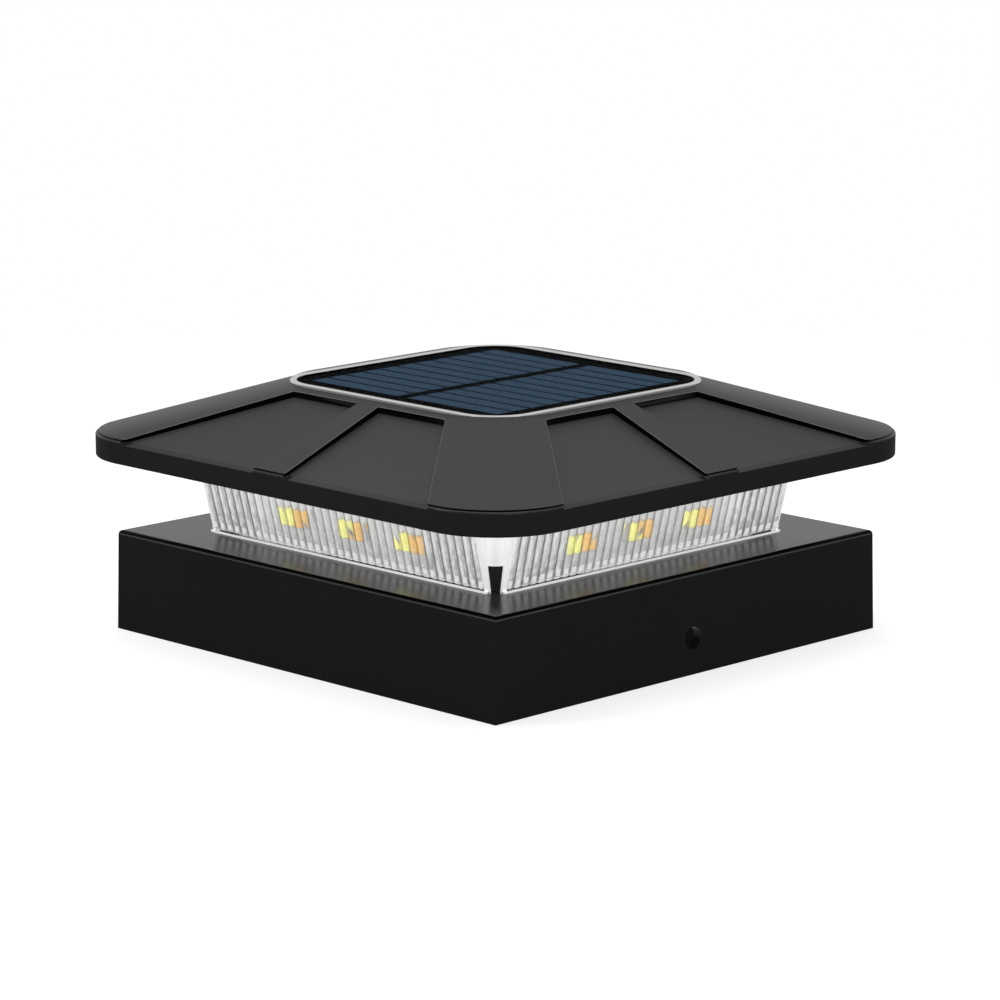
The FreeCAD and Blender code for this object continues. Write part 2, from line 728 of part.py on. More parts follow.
# ---------------------------------------------------------------- diodes on their boards
def make_led_boards():
    board = block("led_board", "led_board_length", "led_board_thickness", "led_board_height",
                  y="-(tray_half + led_board_thickness / 2)", z="led_board_low")
    for side, angle in (("front", 0), ("right", 90), ("back", 180), ("left", 270)):
        node("led_board_" + side, turned("led_board_" + side, board, angle))

    frames, cool, warm = [], [], []
    for column in (-1, 0, 1):
        for tone, offset in (("cool", "-"), ("warm", "")):
            place = f"{column} * led_pitch + {offset}led_pair_pitch / 2"
            tag = f"{tone}_{column + 1}"
            case = block("case_" + tag, "led_side", "led_thickness", "led_side", x=place,
                         y="-(led_board_face + led_thickness / 2)", z="led_height - led_side / 2")
            well = block("well_" + tag, "phosphor_side", "phosphor_depth + overrun", "phosphor_side", x=place,
                         y="-(led_board_face + led_thickness + (overrun - phosphor_depth) / 2)",
                         z="led_height - phosphor_side / 2")
            frames += around("frame_" + tag, cut("frame_" + tag, case, well))
            fill = block("fill_" + tag, "phosphor_side", "phosphor_depth", "phosphor_side", x=place,
                         y="-(led_board_face + led_thickness - phosphor_depth / 2)",
                         z="led_height - phosphor_side / 2")
            (cool if tone == "cool" else warm).extend(around("pad_" + tag, fill))
    node("led_packages", group("led_frames", frames))
    node("cool_phosphor", group("cool_pads", cool))
    node("warm_phosphor", group("warm_pads", warm))

    socket = block("led_socket", "socket_width", "socket_depth", "socket_height",
                   y="-(tray_half - socket_depth / 2)", z="socket_low")
    node("led_sockets", group("sockets", around("socket", socket)))


# ---------------------------------------------------------------- control board
def make_control_board():
    plate = block("board_plate", "board_width", "board_width", "board_thickness", z="board_low")
    hole = rod("board_hole", "board_screw_radius + hole_clearance", "board_thickness + 2 * overrun",
               "standoff_spread", "standoff_spread", "board_low - overrun")
    node("control_board", cut("board_drilled", plate, fuse("board_holes", around("board_hole", hole))))

    legs = [block(f"chip_leg_{index}_{side}", "chip_leg_width", "chip_leg_reach", "chip_height / 2",
                  x=f"chip_place + {index - 3.5} * chip_leg_pitch",
                  y=f"chip_place + {side} * (chip_width + chip_leg_reach) / 2", z="board_top")
            for index in range(8) for side in (-1, 1)]
    chip = block("chip_case", "chip_length", "chip_width", "chip_height",
                 x="chip_place", y="chip_place", z="board_top")
    node("control_chip", fuse("chip", [chip] + legs))

    can = new_body("capacitor")
    can_outline = draw_circle(sketch_in(can, "can_outline"), "capacitor_diameter / 2")
    can_pad = pad(can, "can_pad", can_outline, "capacitor_height")
    doc.recompute()
    top = edges_where(can_pad, lambda point: point.z > number("capacitor_height") - 1e-4)
    rounded(can, "can_rounding", can_pad, top, "capacitor_diameter / 12")
    bind(can, x="capacitor_x", y="capacitor_y", z="board_top")
    node("smoothing_capacitor", can)

    flange = "coil_height / 5"
    spool = [rod("coil_foot", "coil_diameter / 2", flange, "coil_x", "coil_y", "board_top"),
             rod("coil_winding", "coil_winding_diameter / 2", "coil_height * 3 / 5", "coil_x", "coil_y",
                 f"board_top + {flange}"),
             rod("coil_head", "coil_diameter / 2", flange, "coil_x", "coil_y", f"board_top + {flange} * 4")]
    node("boost_coil", fuse("coil", spool))

    header = block("header_block", "header_depth", "header_width", "header_height",
                   x="header_mouth - header_depth / 2", z="board_top")
    mouth_width, mouth_height = "header_width - 2 * header_wall", "header_height - 2 * header_wall"
    mouth = block("header_mouth_cut", "header_depth", mouth_width, mouth_height,
                  x="header_mouth + header_wall", z="board_top + header_wall")
    shape = cut("header", header, mouth)
    side_header = block("side_header_block", "header_width", "header_depth", "header_height",
                        x="side_header_place", y="header_mouth - header_depth / 2", z="board_top")
    side_mouth = block("side_header_mouth", mouth_width, "header_depth", mouth_height,
                       x="side_header_place", y="header_mouth + header_wall", z="board_top + header_wall")
    side_shape = cut("side_header", side_header, side_mouth)
    headers = around("header", shape) + around("side_header", side_shape, (0, 180))
    headers.append(block("switch_header", "header_width", "header_depth", "header_height",
                         x="switch_x", y="header_mouth - header_depth / 2", z="board_top"))
    node("board_headers", group("headers", headers))


# ---------------------------------------------------------------- rechargeable cell and contacts
def make_battery():
    cell = new_body("battery")
    can = pad(cell, "cell_can", draw_circle(sketch_in(cell, "cell_outline"), "cell_diameter / 2"),
              "cell_length - cell_nub_height")
    doc.recompute()
    rounded(cell, "cell_rounding", can, round_edges(can), "cell_edge_round")
    doc.recompute()
    nub_outline = draw_circle(sketch_in(cell, "nub_outline", "cell_length - cell_nub_height"),
                              "cell_nub_diameter / 2")
    nub = pad(cell, "cell_nub", nub_outline, "cell_nub_height")
    cell.Tip = nub
    cell.Placement = FreeCAD.Placement(FreeCAD.Vector(), directions["x"])
    bind(cell, x="-cell_length / 2", y="cell_place", z="cell_height")
    node("battery_cell", cell)

    # Each contact is a plate on the compartment's end wall, a bowed leaf that touches the cell,
    # and a tail through the wall for its lead.
    room = "(compartment_length - cell_length) / 2"
    for name, sign in (("plus", 1), ("minus", -1)):
        wall_x = f"{sign} * compartment_length / 2"
        plate = block("plate_" + name, "contact_thickness", "contact_width", "tail_height * 2",
                      x=f"{wall_x} - {sign} * contact_thickness / 2", y="cell_place",
                      z="cell_height - tail_height / 2")
        leaf = block("leaf_" + name, f"{room} - contact_thickness", "contact_width / 2", "contact_thickness",
                     x=f"{sign} * (cell_length / 2 + ({room} - contact_thickness) / 2)", y="cell_place",
                     z="cell_height - contact_thickness / 2")
        tip = block("tip_" + name, "contact_thickness", "contact_width / 2", "cell_nub_diameter",
                    x=f"{sign} * (cell_length + contact_thickness) / 2", y="cell_place",
                    z="cell_height - cell_nub_diameter / 2")
        tail = block("tail_" + name, "contact_thickness + compartment_wall + tail_length", "tail_width",
                     "contact_thickness",
                     x=f"{wall_x} + {sign} * (compartment_wall + tail_length - contact_thickness) / 2",
                     y="cell_place", z="tail_mid - contact_thickness / 2")
        node("contact_" + name, fuse("contact_" + name, [plate, leaf, tip, tail]))


# ---------------------------------------------------------------- base skirt
def make_base():
    skirt = new_body("skirt")
    outline = draw_square(sketch_in(skirt, "skirt_outline"), "base_half + base_draft")
    drafted = pad(skirt, "skirt_block", outline, "base_height")
    drafted.setExpression("TaperAngle", spelled("-atan(base_draft / base_height)"))
    doc.recompute()
    height = number("base_height")
    top = edges_where(drafted, lambda point: point.z > height - 1e-4)
    rounded(skirt, "skirt_edge", drafted, top, "base_edge_round")

    pocket = block("post_pocket", "pocket_half * 2", "pocket_half * 2", "plate_under + overrun", z="-overrun")
    shell = cut("skirt_shell", skirt, pocket)
    stop_half = "(pocket_half - stop_inset)"
    stop_out = block("stop_out", f"2 * {stop_half}", f"2 * {stop_half}", "stop_depth", z="stop_face")
    stop_in = block("stop_in", f"2 * ({stop_half} - stop_wall)", f"2 * ({stop_half} - stop_wall)",
                    "stop_depth", z="stop_face")
    stop = cut("post_stop", stop_out, stop_in)
    boss = rod("base_boss", "boss_diameter / 2", "boss_top - plate_under", "boss_spread", "boss_spread",
               "plate_under")
    walls = block("compartment_out", "compartment_length + 2 * compartment_wall",
                  "2 * (compartment_half + compartment_wall)",
                  "compartment_high + compartment_wall - plate_under", y="cell_place", z="plate_under")
    lug_y = "(barrel_half + lug_gap + lug_length / 2)"
    lugs = [block(f"lug_{side}", "barrel_radius * 2", "lug_length", "plate_under - door_mid + barrel_radius",
                  x="hinge_place", y=f"cell_place {side} {lug_y}", z="door_mid - barrel_radius")
            for side in ("+", "-")]
    solid = fuse("base_solid", [shell, stop, walls] + around("base_boss", boss) + lugs)

    inside = block("compartment_in", "compartment_length", "2 * compartment_half",
                   "compartment_high - plate_under + overrun", y="cell_place", z="plate_under - overrun")
    groove = cut_ring("foot_groove", "foot_half + fit", "lens_foot_cut + fit", "foot_half - lens_wall - fit",
                      "lens_foot_cut - lens_wall - fit", "groove_floor", "base_height + overrun")
    screw_hole = rod("base_screw_hole", "base_screw_radius + hole_clearance",
                     "boss_top - plate_under + 2 * overrun", "boss_spread", "boss_spread",
                     "plate_under - overrun")
    side_hole = rod("side_hole", "side_hole_diameter / 2", "base_wall + base_draft + 4 * overrun",
                    "pocket_half - 2 * overrun", 0, "side_hole_height", along="x")
    slot = block("switch_slot", "knob_side + 2 * knob_travel + 2 * slot_clearance",
                 "knob_side + 2 * slot_clearance", "base_plate + 2 * overrun",
                 x="switch_x", y="switch_y", z="plate_under - overrun")
    tails = [block("tail_slot_" + name, "compartment_wall * 2", "tail_width + 2 * fit",
                   "contact_thickness + 2 * fit",
                   x=f"{sign} * (compartment_length + compartment_wall) / 2", y="cell_place",
                   z="tail_mid - contact_thickness / 2 - fit") for name, sign in (("plus", 1), ("minus", -1))]
    pin_hole = rod("pin_hole", "pin_radius + pin_clearance", f"2 * ({lug_y} + lug_length)", "hinge_place",
                   f"cell_place - {lug_y} - lug_length", "door_mid", along="y")
    ear_holes = [rod(f"ear_pilot_{side}", "switch_screw_radius + thread_clearance",
                     "switch_screw_length - ear_thickness + fit",
                     f"switch_x {side} ear_hole_place", "switch_y",
                     "base_height - (switch_screw_length - ear_thickness + fit)") for side in ("+", "-")]
    holes = fuse("base_holes", [inside, groove, slot, pin_hole] + tails + ear_holes
                 + around("base_screw_hole", screw_hole) + around("side_hole", side_hole, (0, 180)))
    node("base_shell", cut("base", solid, holes))


# ---------------------------------------------------------------- battery door
def make_door():
    near = "hinge_place + barrel_radius + door_barrel_gap"
    plate = block("door_plate", f"door_end - ({near})", "2 * door_half", "door_thickness",
                  x=f"(door_end + {near}) / 2", y="cell_place", z="door_low")
    bridge = block("door_bridge", f"({near}) - hinge_place + overrun", "2 * barrel_half", "door_thickness",
                   x=f"(hinge_place + {near} + overrun) / 2", y="cell_place", z="door_low")
    barrel = rod("door_barrel", "barrel_radius", "2 * barrel_half", "hinge_place", "cell_place - barrel_half",
                 "door_mid", along="y")
    lip = block("door_lip", "door_lip", "door_lip_width", "door_thickness + door_lip_drop",
                x="door_end + door_lip / 2", y="cell_place", z="door_low - door_lip_drop")
    ribs = [block(f"door_rib_{side}", "door_rib_thickness", "door_rib_length",
                  "cell_height - cell_diameter / 2 - cell_clearance - door_high + door_thickness / 2",
                  x=f"{side}door_rib_place", y="cell_place", z="door_high - door_thickness / 2")
            for side in ("-", "")]
    solid = fuse("door_solid", [plate, bridge, barrel, lip] + ribs)
    bore = rod("door_bore", "pin_radius + pin_clearance", "2 * barrel_half + 2 * overrun", "hinge_place",
               "cell_place - barrel_half - overrun", "door_mid", along="y")
    node("battery_door", cut("door", solid, bore))

    seal_length = "compartment_length + 2 * cell_clearance"
    seal_span = "2 * (compartment_half + cell_clearance)"
    seal_out = block("seal_out", f"{seal_length} + 2 * seal_width", f"{seal_span} + 2 * seal_width",
                     "door_gap", y="cell_place", z="door_high")
    seal_in = block("seal_in", seal_length, seal_span, "door_gap", y="cell_place", z="door_high")
    node("door_gasket", cut("door_seal", seal_out, seal_in))
    lug_y = "(barrel_half + lug_gap + lug_length)"
    node("hinge_pin", rod("pin", "pin_radius", f"2 * {lug_y}", "hinge_place", f"cell_place - {lug_y}",
                          "door_mid", along="y"))


# ---------------------------------------------------------------- mode switch
def make_switch():
    case = block("switch_case", "switch_length", "switch_width", "switch_body_height",
                 x="switch_x", y="switch_y", z="base_height")
    ears = block("switch_ears", "ear_length", "switch_width", "ear_thickness",
                 x="switch_x", y="switch_y", z="base_height")
    pins = [rod(f"switch_pin_{index}", "terminal_radius", "terminal_length",
                f"switch_x + {index - 1} * terminal_pitch", "switch_y",
                "base_height + switch_body_height") for index in (0, 1, 2)]
    cavity = block("switch_cavity", "slider_length + 2 * knob_travel + 2 * slot_clearance",
                   "slider_width + 2 * slide_clearance", "slider_height + 2 * slide_clearance",
                   x="switch_x", y="switch_y", z="base_height")
    ear_holes = [rod(f"ear_hole_{side}", "switch_screw_radius + hole_clearance",
                     "ear_thickness + 2 * overrun", f"switch_x {side} ear_hole_place", "switch_y",
                     "base_height - overrun") for side in ("+", "-")]
    node("switch_body", cut("switch", fuse("switch_solid", [case, ears] + pins),
                            fuse("switch_holes", [cavity] + ear_holes)))

    slider = block("slider", "slider_length", "slider_width", "slider_height",
                   x="switch_x", y="switch_y", z="slider_low")
    stem = block("stem", "knob_side", "knob_side", "slider_low - plate_under + knob_drop + slider_height / 2",
                 x="switch_x", y="switch_y", z="plate_under - knob_drop")
    grooves = [block(f"grip_{index}", "grip_width", "knob_side + overrun", "grip_depth",
                     x=f"switch_x + {index - 1} * grip_pitch",
                     y="switch_y", z="plate_under - knob_drop") for index in (0, 1, 2)]
    node("switch_knob", cut("knob", fuse("knob_solid", [slider, stem]), fuse("knob_grip", grooves)))


# ---------------------------------------------------------------- screws
def screw(name, radius, head_radius, length, x, y, seat, down):
    """A pan-head screw with a cross recess; its head rests on seat, above or below it."""
    head_height = f"({head_radius}) * head_rise"
    shank_low = f"({seat}) - ({length})" if down else seat
    head_low = seat if down else f"({seat}) - {head_height}"
    body = fuse(name + "_body", [rod(name + "_shank", radius, length, x, y, shank_low),
                                 rod(name + "_head", head_radius, head_height, x, y, head_low)])
    if down:
        slot_low = f"({seat}) + {head_height} * (1 - cross_depth)"
    else:
        slot_low = f"({seat}) - {head_height} - overrun"
    slot_height = f"{head_height} * cross_depth + overrun"
    long_way = f"({head_radius}) * cross_reach"
    slots = [block(name + "_slot_a", long_way, "cross_width", slot_height, x, y, slot_low),
             block(name + "_slot_b", "cross_width", long_way, slot_height, x, y, slot_low)]
    return cut(name, body, fuse(name + "_cross", slots))


def make_screws():
    base = screw("base_screw", "base_screw_radius", "base_head_radius", "base_screw_length",
                 "boss_spread", "boss_spread", "plate_under", down=False)
    node("base_screws", group("base_screws", around("base_screw", base)))
    tray = screw("tray_screw", "tray_screw_radius", "tray_head_radius", "tray_screw_length",
                 "roof_boss_spread", "roof_boss_spread", "tray_under", down=False)
    node("tray_screws", group("tray_screws", around("tray_screw", tray)))
    board = screw("board_screw", "board_screw_radius", "board_head_radius", "board_screw_length",
                  "standoff_spread", "standoff_spread", "board_top", down=True)
    node("board_screws", group("board_screws", around("board_screw", board)))
    ears = [screw(f"switch_screw_{name}", "switch_screw_radius", "switch_head_radius", "switch_screw_length",
                  f"switch_x {sign} ear_hole_place", "switch_y", "base_height + ear_thickness", down=True)
            for name, sign in (("left", "-"), ("right", "+"))]
    node("switch_screws", group("switch_screws", ears))


# ---------------------------------------------------------------- leads
def lead(name, points, diameter, share=0.45):
    """A lead along straight runs joined by tangent arcs, each as large as its runs allow."""
    points = [FreeCAD.Vector(*point) for point in points]
    edges, radii, start = [], [], points[0]
    for before, corner, after in zip(points, points[1:], points[2:]):
        back = (before - corner).normalize()
        ahead = (after - corner).normalize()
        turn = math.pi - back.getAngle(ahead)
        reach = share * min((before - corner).Length, (after - corner).Length)
        radii.append(reach / math.tan(turn / 2))
        first, last = corner + back * reach, corner + ahead * reach
        bisector = (back + ahead).normalize()
        centre = corner + bisector * (radii[-1] / math.cos(turn / 2))
        middle = centre - bisector * radii[-1]
        edges += [Part.LineSegment(start, first).toShape(), Part.Arc(first, middle, last).toShape()]
        start = last
    edges.append(Part.LineSegment(start, points[-1]).toShape())
    path = Part.Wire(edges)
    circle = Part.Circle(points[0], points[1] - points[0], diameter / 2).toShape()
    solid = path.makePipeShell([Part.Wire([circle])], True, False)
    whole = math.pi * diameter ** 2 / 4 * path.Length
    print(name, "radii", [round(radius, 1) for radius in radii], "volume share",
          round(solid.Volume / whole, 4))
    feature = doc.addObject("Part::Feature", name)
    feature.Shape = solid
    return node(name, feature)


def make_leads():
    thin, thick = number("lead_diameter"), number("led_lead_diameter")
    mouth, level = number("header_mouth"), number("header_mid")
    inner = mouth - number("lead_reach")
    hole = number("tray_half") - number("led_lead_set_back")
    socket = number("tray_half") - number("socket_depth")
    route = [(inner, 0, level), (hole, 0, level), (hole, 0, number("socket_mid")),
             (socket, 0, number("socket_mid"))]
    for side, angle in (("front", -90), ("right", 0), ("back", 90), ("left", 180)):
        spin = FreeCAD.Rotation(FreeCAD.Vector(0, 0, 1), angle)
        lead("led_lead_" + side, [spin.multVec(FreeCAD.Vector(*point)) for point in route], thick)

    # The solar leads drop from the panel's board through the roof into the rear right header.
    spot, back = number("side_header_place"), mouth + number("solar_lead_set_out")
    for name, sign in (("red", -1), ("black", 1)):
        x = spot + sign * number("lead_spacing") / 2
        lead("solar_lead_" + name, [(x, back, number("solar_low")), (x, back, level), (x, inner, level)], thin)

    # The battery leads rise beside the compartment's ends and cross the tray to the front left header;
    # the red one passes over the front LED lead.
    side, tail_top = number("tail_lead_place"), number("tail_mid") + number("contact_thickness") / 2
    cell_y, rise = number("cell_place"), number("battery_lead_rise")
    swing, drift = number("battery_lead_swing"), number("battery_lead_drift")
    over = level + number("battery_lead_lift")
    red, black = (number("lead_spacing") / 2 * sign - spot for sign in (1, -1))
    lead("battery_lead_red", [(side, cell_y, tail_top), (side, cell_y, tail_top + rise),
                              (side - swing, cell_y - drift, over),
                              (thin, cell_y - drift - thin, over + thin / 6),
                              (red, cell_y - drift + thin, level), (red, -inner, level)], thin)
    lead("battery_lead_black", [(-side, cell_y, tail_top), (-side, cell_y, tail_top + rise - thin),
                                (-side + swing / 2, cell_y - swing, level + thin),
                                (black, cell_y - drift + thin, level), (black, -inner, level)], thin)

    # The switch lead rises straight from the switch's terminals into the rear left header.
    switch_x, switch_y = number("switch_x"), number("switch_y")
    switch_top = number("base_height") + number("switch_body_height") + number("terminal_length")
    lead("switch_lead", [(switch_x, switch_y, switch_top), (switch_x, switch_y, level),
                         (switch_x, mouth, level)], thick)


make_roof()
make_solar_panel()
make_lens()
make_tray()
make_led_boards()
make_control_board()
make_battery()
make_base()
make_door()
make_switch()
make_screws()
make_leads()
doc.recompute()

for item in doc.Objects:
    if "Invalid" in item.State or "Error" in item.State:
        raise RuntimeError(f"{item.Label} failed: {item.State}")
os.makedirs("parts", exist_ok=True)
for piece in nodes:
    shape = piece.Shape
    if shape.isNull() or not shape.isValid():
        raise RuntimeError(f"{piece.Label} has no valid shape")
    shape.exportStep(f"parts/{piece.Label}.step")
    print(f"{piece.Label}: {len(shape.Solids)} solids, {shape.Volume:.1f} mm3")
print(len(nodes), "nodes")
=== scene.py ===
import json
import math

import bmesh
import bpy
from mathutils import Matrix, Vector


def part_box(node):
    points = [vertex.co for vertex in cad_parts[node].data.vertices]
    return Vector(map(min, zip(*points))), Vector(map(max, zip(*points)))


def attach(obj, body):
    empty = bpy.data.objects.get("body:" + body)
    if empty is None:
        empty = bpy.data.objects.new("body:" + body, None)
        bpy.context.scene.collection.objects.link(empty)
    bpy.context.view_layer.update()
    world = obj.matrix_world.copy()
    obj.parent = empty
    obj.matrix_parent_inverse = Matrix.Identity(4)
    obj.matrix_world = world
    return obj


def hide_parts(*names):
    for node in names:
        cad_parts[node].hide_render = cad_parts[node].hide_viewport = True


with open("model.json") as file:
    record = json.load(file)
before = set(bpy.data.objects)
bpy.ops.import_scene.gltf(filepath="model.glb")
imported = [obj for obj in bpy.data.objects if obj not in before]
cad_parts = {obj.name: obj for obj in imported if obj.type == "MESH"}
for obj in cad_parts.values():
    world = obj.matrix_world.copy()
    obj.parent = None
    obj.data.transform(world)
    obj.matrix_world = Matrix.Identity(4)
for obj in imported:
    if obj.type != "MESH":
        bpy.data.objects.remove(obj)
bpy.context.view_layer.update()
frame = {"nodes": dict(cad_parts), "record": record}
nodes = frame["nodes"]
slotOf = {row["node"]: row["material_slot"] for row in frame["record"]["subparts"]}
mm = 0.001
hair = 0.01 * mm  # levels nearer than this are one
panelCorner = 11.85 * mm  # round of the solar panel's outline
print("frame loaded:", len(nodes), "nodes")


def feed(tree, socket, value):
    if isinstance(value, Reading):
        tree.links.new(value.socket, socket)
    else:
        socket.default_value = value


class Reading:  # one output socket that can stand in ordinary sums
    def __init__(self, tree, socket):
        self.tree = tree
        self.socket = socket

    def maths(self, operation, *others):
        step = self.tree.nodes.new("ShaderNodeMath")
        step.operation = operation
        for socket, value in zip(step.inputs, (self,) + others):
            feed(self.tree, socket, value)
        return Reading(self.tree, step.outputs[0])

    def __add__(self, other):
        return self.maths("ADD", other)

    def __mul__(self, other):
        return self.maths("MULTIPLY", other)

    def __sub__(self, other):
        return self.maths("SUBTRACT", other)

    def __rsub__(self, other):
        return (self * -1) + other

    def __pow__(self, other):
        return self.maths("POWER", other)

    def __lt__(self, other):
        return self.maths("LESS_THAN", other)

    def __gt__(self, other):
        return self.maths("GREATER_THAN", other)

    def __abs__(self):
        return self.maths("ABSOLUTE")

    def __mod__(self, other):
        return self.maths("FLOORED_MODULO", other)

    __radd__ = __add__
    __rmul__ = __mul__


class Recipe:  # a tree while it is being wired
    def __init__(self, tree):
        self.tree = tree

    def add(self, kind, settings=None, values=None, give=0):
        made = self.tree.nodes.new(kind)
        for name, value in (settings or {}).items():
            if name == "stops":
                self.setStops(made.color_ramp, value)
            else:
                setattr(made, name, value)
        for key, value in (values or {}).items():
            feed(self.tree, made.inputs[key], value)
        if isinstance(give, tuple):
            return [Reading(self.tree, made.outputs[each]) for each in give]
        return Reading(self.tree, made.outputs[give]) if made.outputs else None

    def setStops(self, ramp, stops):
        while len(ramp.elements) < len(stops):
            ramp.elements.new(0.5)
        for element, (position, colour) in zip(ramp.elements, stops):
            element.position = position
            element.color = (*colour, 1)

    def axes(self, place):
        return self.add("ShaderNodeSeparateXYZ", {}, {0: place}, give=(0, 1, 2))

    def stretch(self, place, scale):
        return self.add("ShaderNodeMapping", {}, {"Vector": place, "Scale": scale})

    def noise(self, place, scale, detail=2, rough=0.5):
        return self.add("ShaderNodeTexNoise", {}, {"Vector": place, "Scale": scale, "Detail": detail,
                                                   "Roughness": rough})

    def blend(self, factor, first, second):
        return self.add("ShaderNodeMix", {"data_type": "RGBA"},
                        {0: factor, 6: (*first, 1) if isinstance(first, tuple) else first,
                         7: (*second, 1) if isinstance(second, tuple) else second}, give=2)

    def vary(self, factor, colour, spread):  # the colour, from a little darker to a little lighter
        return self.blend(factor, shaded(colour, 1 - spread), shaded(colour, 1 + spread))

    def ramp(self, value, low, high):
        return self.add("ShaderNodeMapRange", {"interpolation_type": "SMOOTHSTEP"},
                        {"Value": value, "From Min": low, "From Max": high})

    def attribute(self, name):
        return self.add("ShaderNodeAttribute", {"attribute_name": name}, give="Fac")

    def bump(self, height, depth):
        return self.add("ShaderNodeBump", {}, {"Height": height, "Distance": depth})

    def mix(self, factor, first, second):
        return self.add("ShaderNodeMixShader", {}, {0: factor, 1: first, 2: second})


def shaded(colour, factor):
    return tuple(min(1.0, part * factor) for part in colour)


def around(middle, noise, spread):
    return middle + (noise - 0.5) * spread


def newFinish(name):
    material = bpy.data.materials.new(name)
    material.use_nodes = True
    material.node_tree.nodes.clear()
    recipe = Recipe(material.node_tree)
    place = recipe.add("ShaderNodeTexCoord", give="Object")
    return material, recipe, place


def closeFinish(material, recipe, values):
    shader = recipe.add("ShaderNodeBsdfPrincipled", {}, values)
    recipe.add("ShaderNodeOutputMaterial", {}, {"Surface": shader})
    return material


def mouldedNoise(recipe, place, look):
    # slow drift of shade and gloss, and the fine spark-eroded grain of a mould
    drift = recipe.noise(place, look["driftScale"], detail=3)
    grain = recipe.noise(place, look["grainScale"], rough=0.6)
    return drift, grain


def reachAt(nodeName, level):
    # half width of a node's mesh at one level, and how far it reaches along the diagonal
    spots = [vert.co for vert in nodes[nodeName].data.vertices if abs(vert.co.z - level) < hair]
    return max(spot.x for spot in spots), max(spot.x + spot.y for spot in spots) / math.sqrt(2)


def topBeyond(nodeName, reach):
    # the highest level of a node's mesh further out along X than that
    return max(vert.co.z for vert in nodes[nodeName].data.vertices if vert.co.x > reach)


finishes = {}


def paintAll(finish, common, paints):
    for slot, paint in paints.items():
        finishes[slot] = finish({**common, **paint})


plasticLook = {"spread": 0.12, "driftScale": 45, "roughSpread": 0.08, "specular": 0.5,
               "grainScale": 2600, "grainDepth": 0.02 * mm, "paintedGlow": 0.0}
plasticPaints = {
    "grey_foam": {"name": "greyFoam", "colour": (0.08, 0.08, 0.085), "rough": 0.85,
                  "grainScale": 900, "grainDepth": 0.15 * mm},
    "black_board": {"name": "blackSolderMask", "colour": (0.003, 0.0035, 0.004), "rough": 0.45,
                    "specular": 0.0},
    "black_rubber": {"name": "blackSilicone", "colour": (0.02, 0.02, 0.02), "rough": 0.6},
    # the tray has a painted glow, so it reads bright through the lens
    "white_tray": {"name": "whiteTray", "colour": (0.80, 0.80, 0.79), "rough": 0.4, "spread": 0.02,
                   "paintedGlow": 0.72},
    "white_package": {"name": "whiteFrame", "colour": (0.8, 0.8, 0.78), "rough": 0.35, "spread": 0.02},
    "ivory_plastic": {"name": "ivoryNylon", "colour": (0.68, 0.64, 0.54), "rough": 0.45, "spread": 0.04},
    "chip_resin": {"name": "chipEpoxy", "colour": (0.025, 0.025, 0.027), "rough": 0.6,
                   "grainDepth": 0.04 * mm},
    "coil_ferrite": {"name": "ferrite", "colour": (0.05, 0.05, 0.055), "rough": 0.5,
                     "grainDepth": 0.05 * mm},
    "battery_sleeve": {"name": "blueSleeve", "colour": (0.03, 0.16, 0.38), "rough": 0.25},
    "switch_case": {"name": "blackNylon", "colour": (0.03, 0.03, 0.032), "rough": 0.5},
    "switch_knob": {"name": "acetalKnob", "colour": (0.06, 0.06, 0.062), "rough": 0.4},
    "white_lead": {"name": "whiteInsulation", "colour": (0.72, 0.72, 0.7), "rough": 0.5, "spread": 0.03},
    "red_lead": {"name": "redInsulation", "colour": (0.45, 0.02, 0.02), "rough": 0.45},
    "black_lead": {"name": "blackInsulation", "colour": (0.015, 0.015, 0.015), "rough": 0.45},
}


def plasticFinish(look):
    # moulded plastic, foam or rubber in one colour, with a painted glow where a paint asks for one
    material, recipe, place = newFinish(look["name"])
    drift, grain = mouldedNoise(recipe, place, look)
    colour = recipe.vary(drift, look["colour"], look["spread"])
    values = {"Base Color": colour, "Roughness": around(look["rough"], drift, look["roughSpread"]),
              "Specular IOR Level": look["specular"], "Normal": recipe.bump(grain, look["grainDepth"])}
    # a painted glow: the surface shines its own colour
    if look["paintedGlow"]:
        values.update({"Emission Color": colour, "Emission Strength": look["paintedGlow"]})
    return closeFinish(material, recipe, values)


paintAll(plasticFinish, plasticLook, plasticPaints)

# edge is a painted highlight along the eased edges, step a painted shade on the upright walls, lip and
# shoulder a painted reflection round the panel
roofPaint = {"name": "blackRoof", "rim": (0.013, 0.013, 0.0132), "slope": (0.035, 0.035, 0.036),
             "edge": (0.24, 0.24, 0.24), "edgeHighlightShow": 0.9, "step": (0.0015, 0.0015, 0.0015),
             "lip": (0.56, 0.56, 0.55), "lipWidth": 2.65 * mm, "lipDepth": 0.12 * mm,
             "shoulder": (0.16, 0.16, 0.16), "shoulderWidth": 3.55 * mm,
             "rimHeight": 6.7 * mm, "soften": 0.2 * mm, "landFoot": 7.4 * mm,
             "rimRough": 0.24, "slopeRough": 0.42, "roughSpread": 0.04, "specular": 0.22,
             "spread": 0.06, "driftScale": 30, "grainScale": 2600, "grainDepth": 0.0015 * mm}


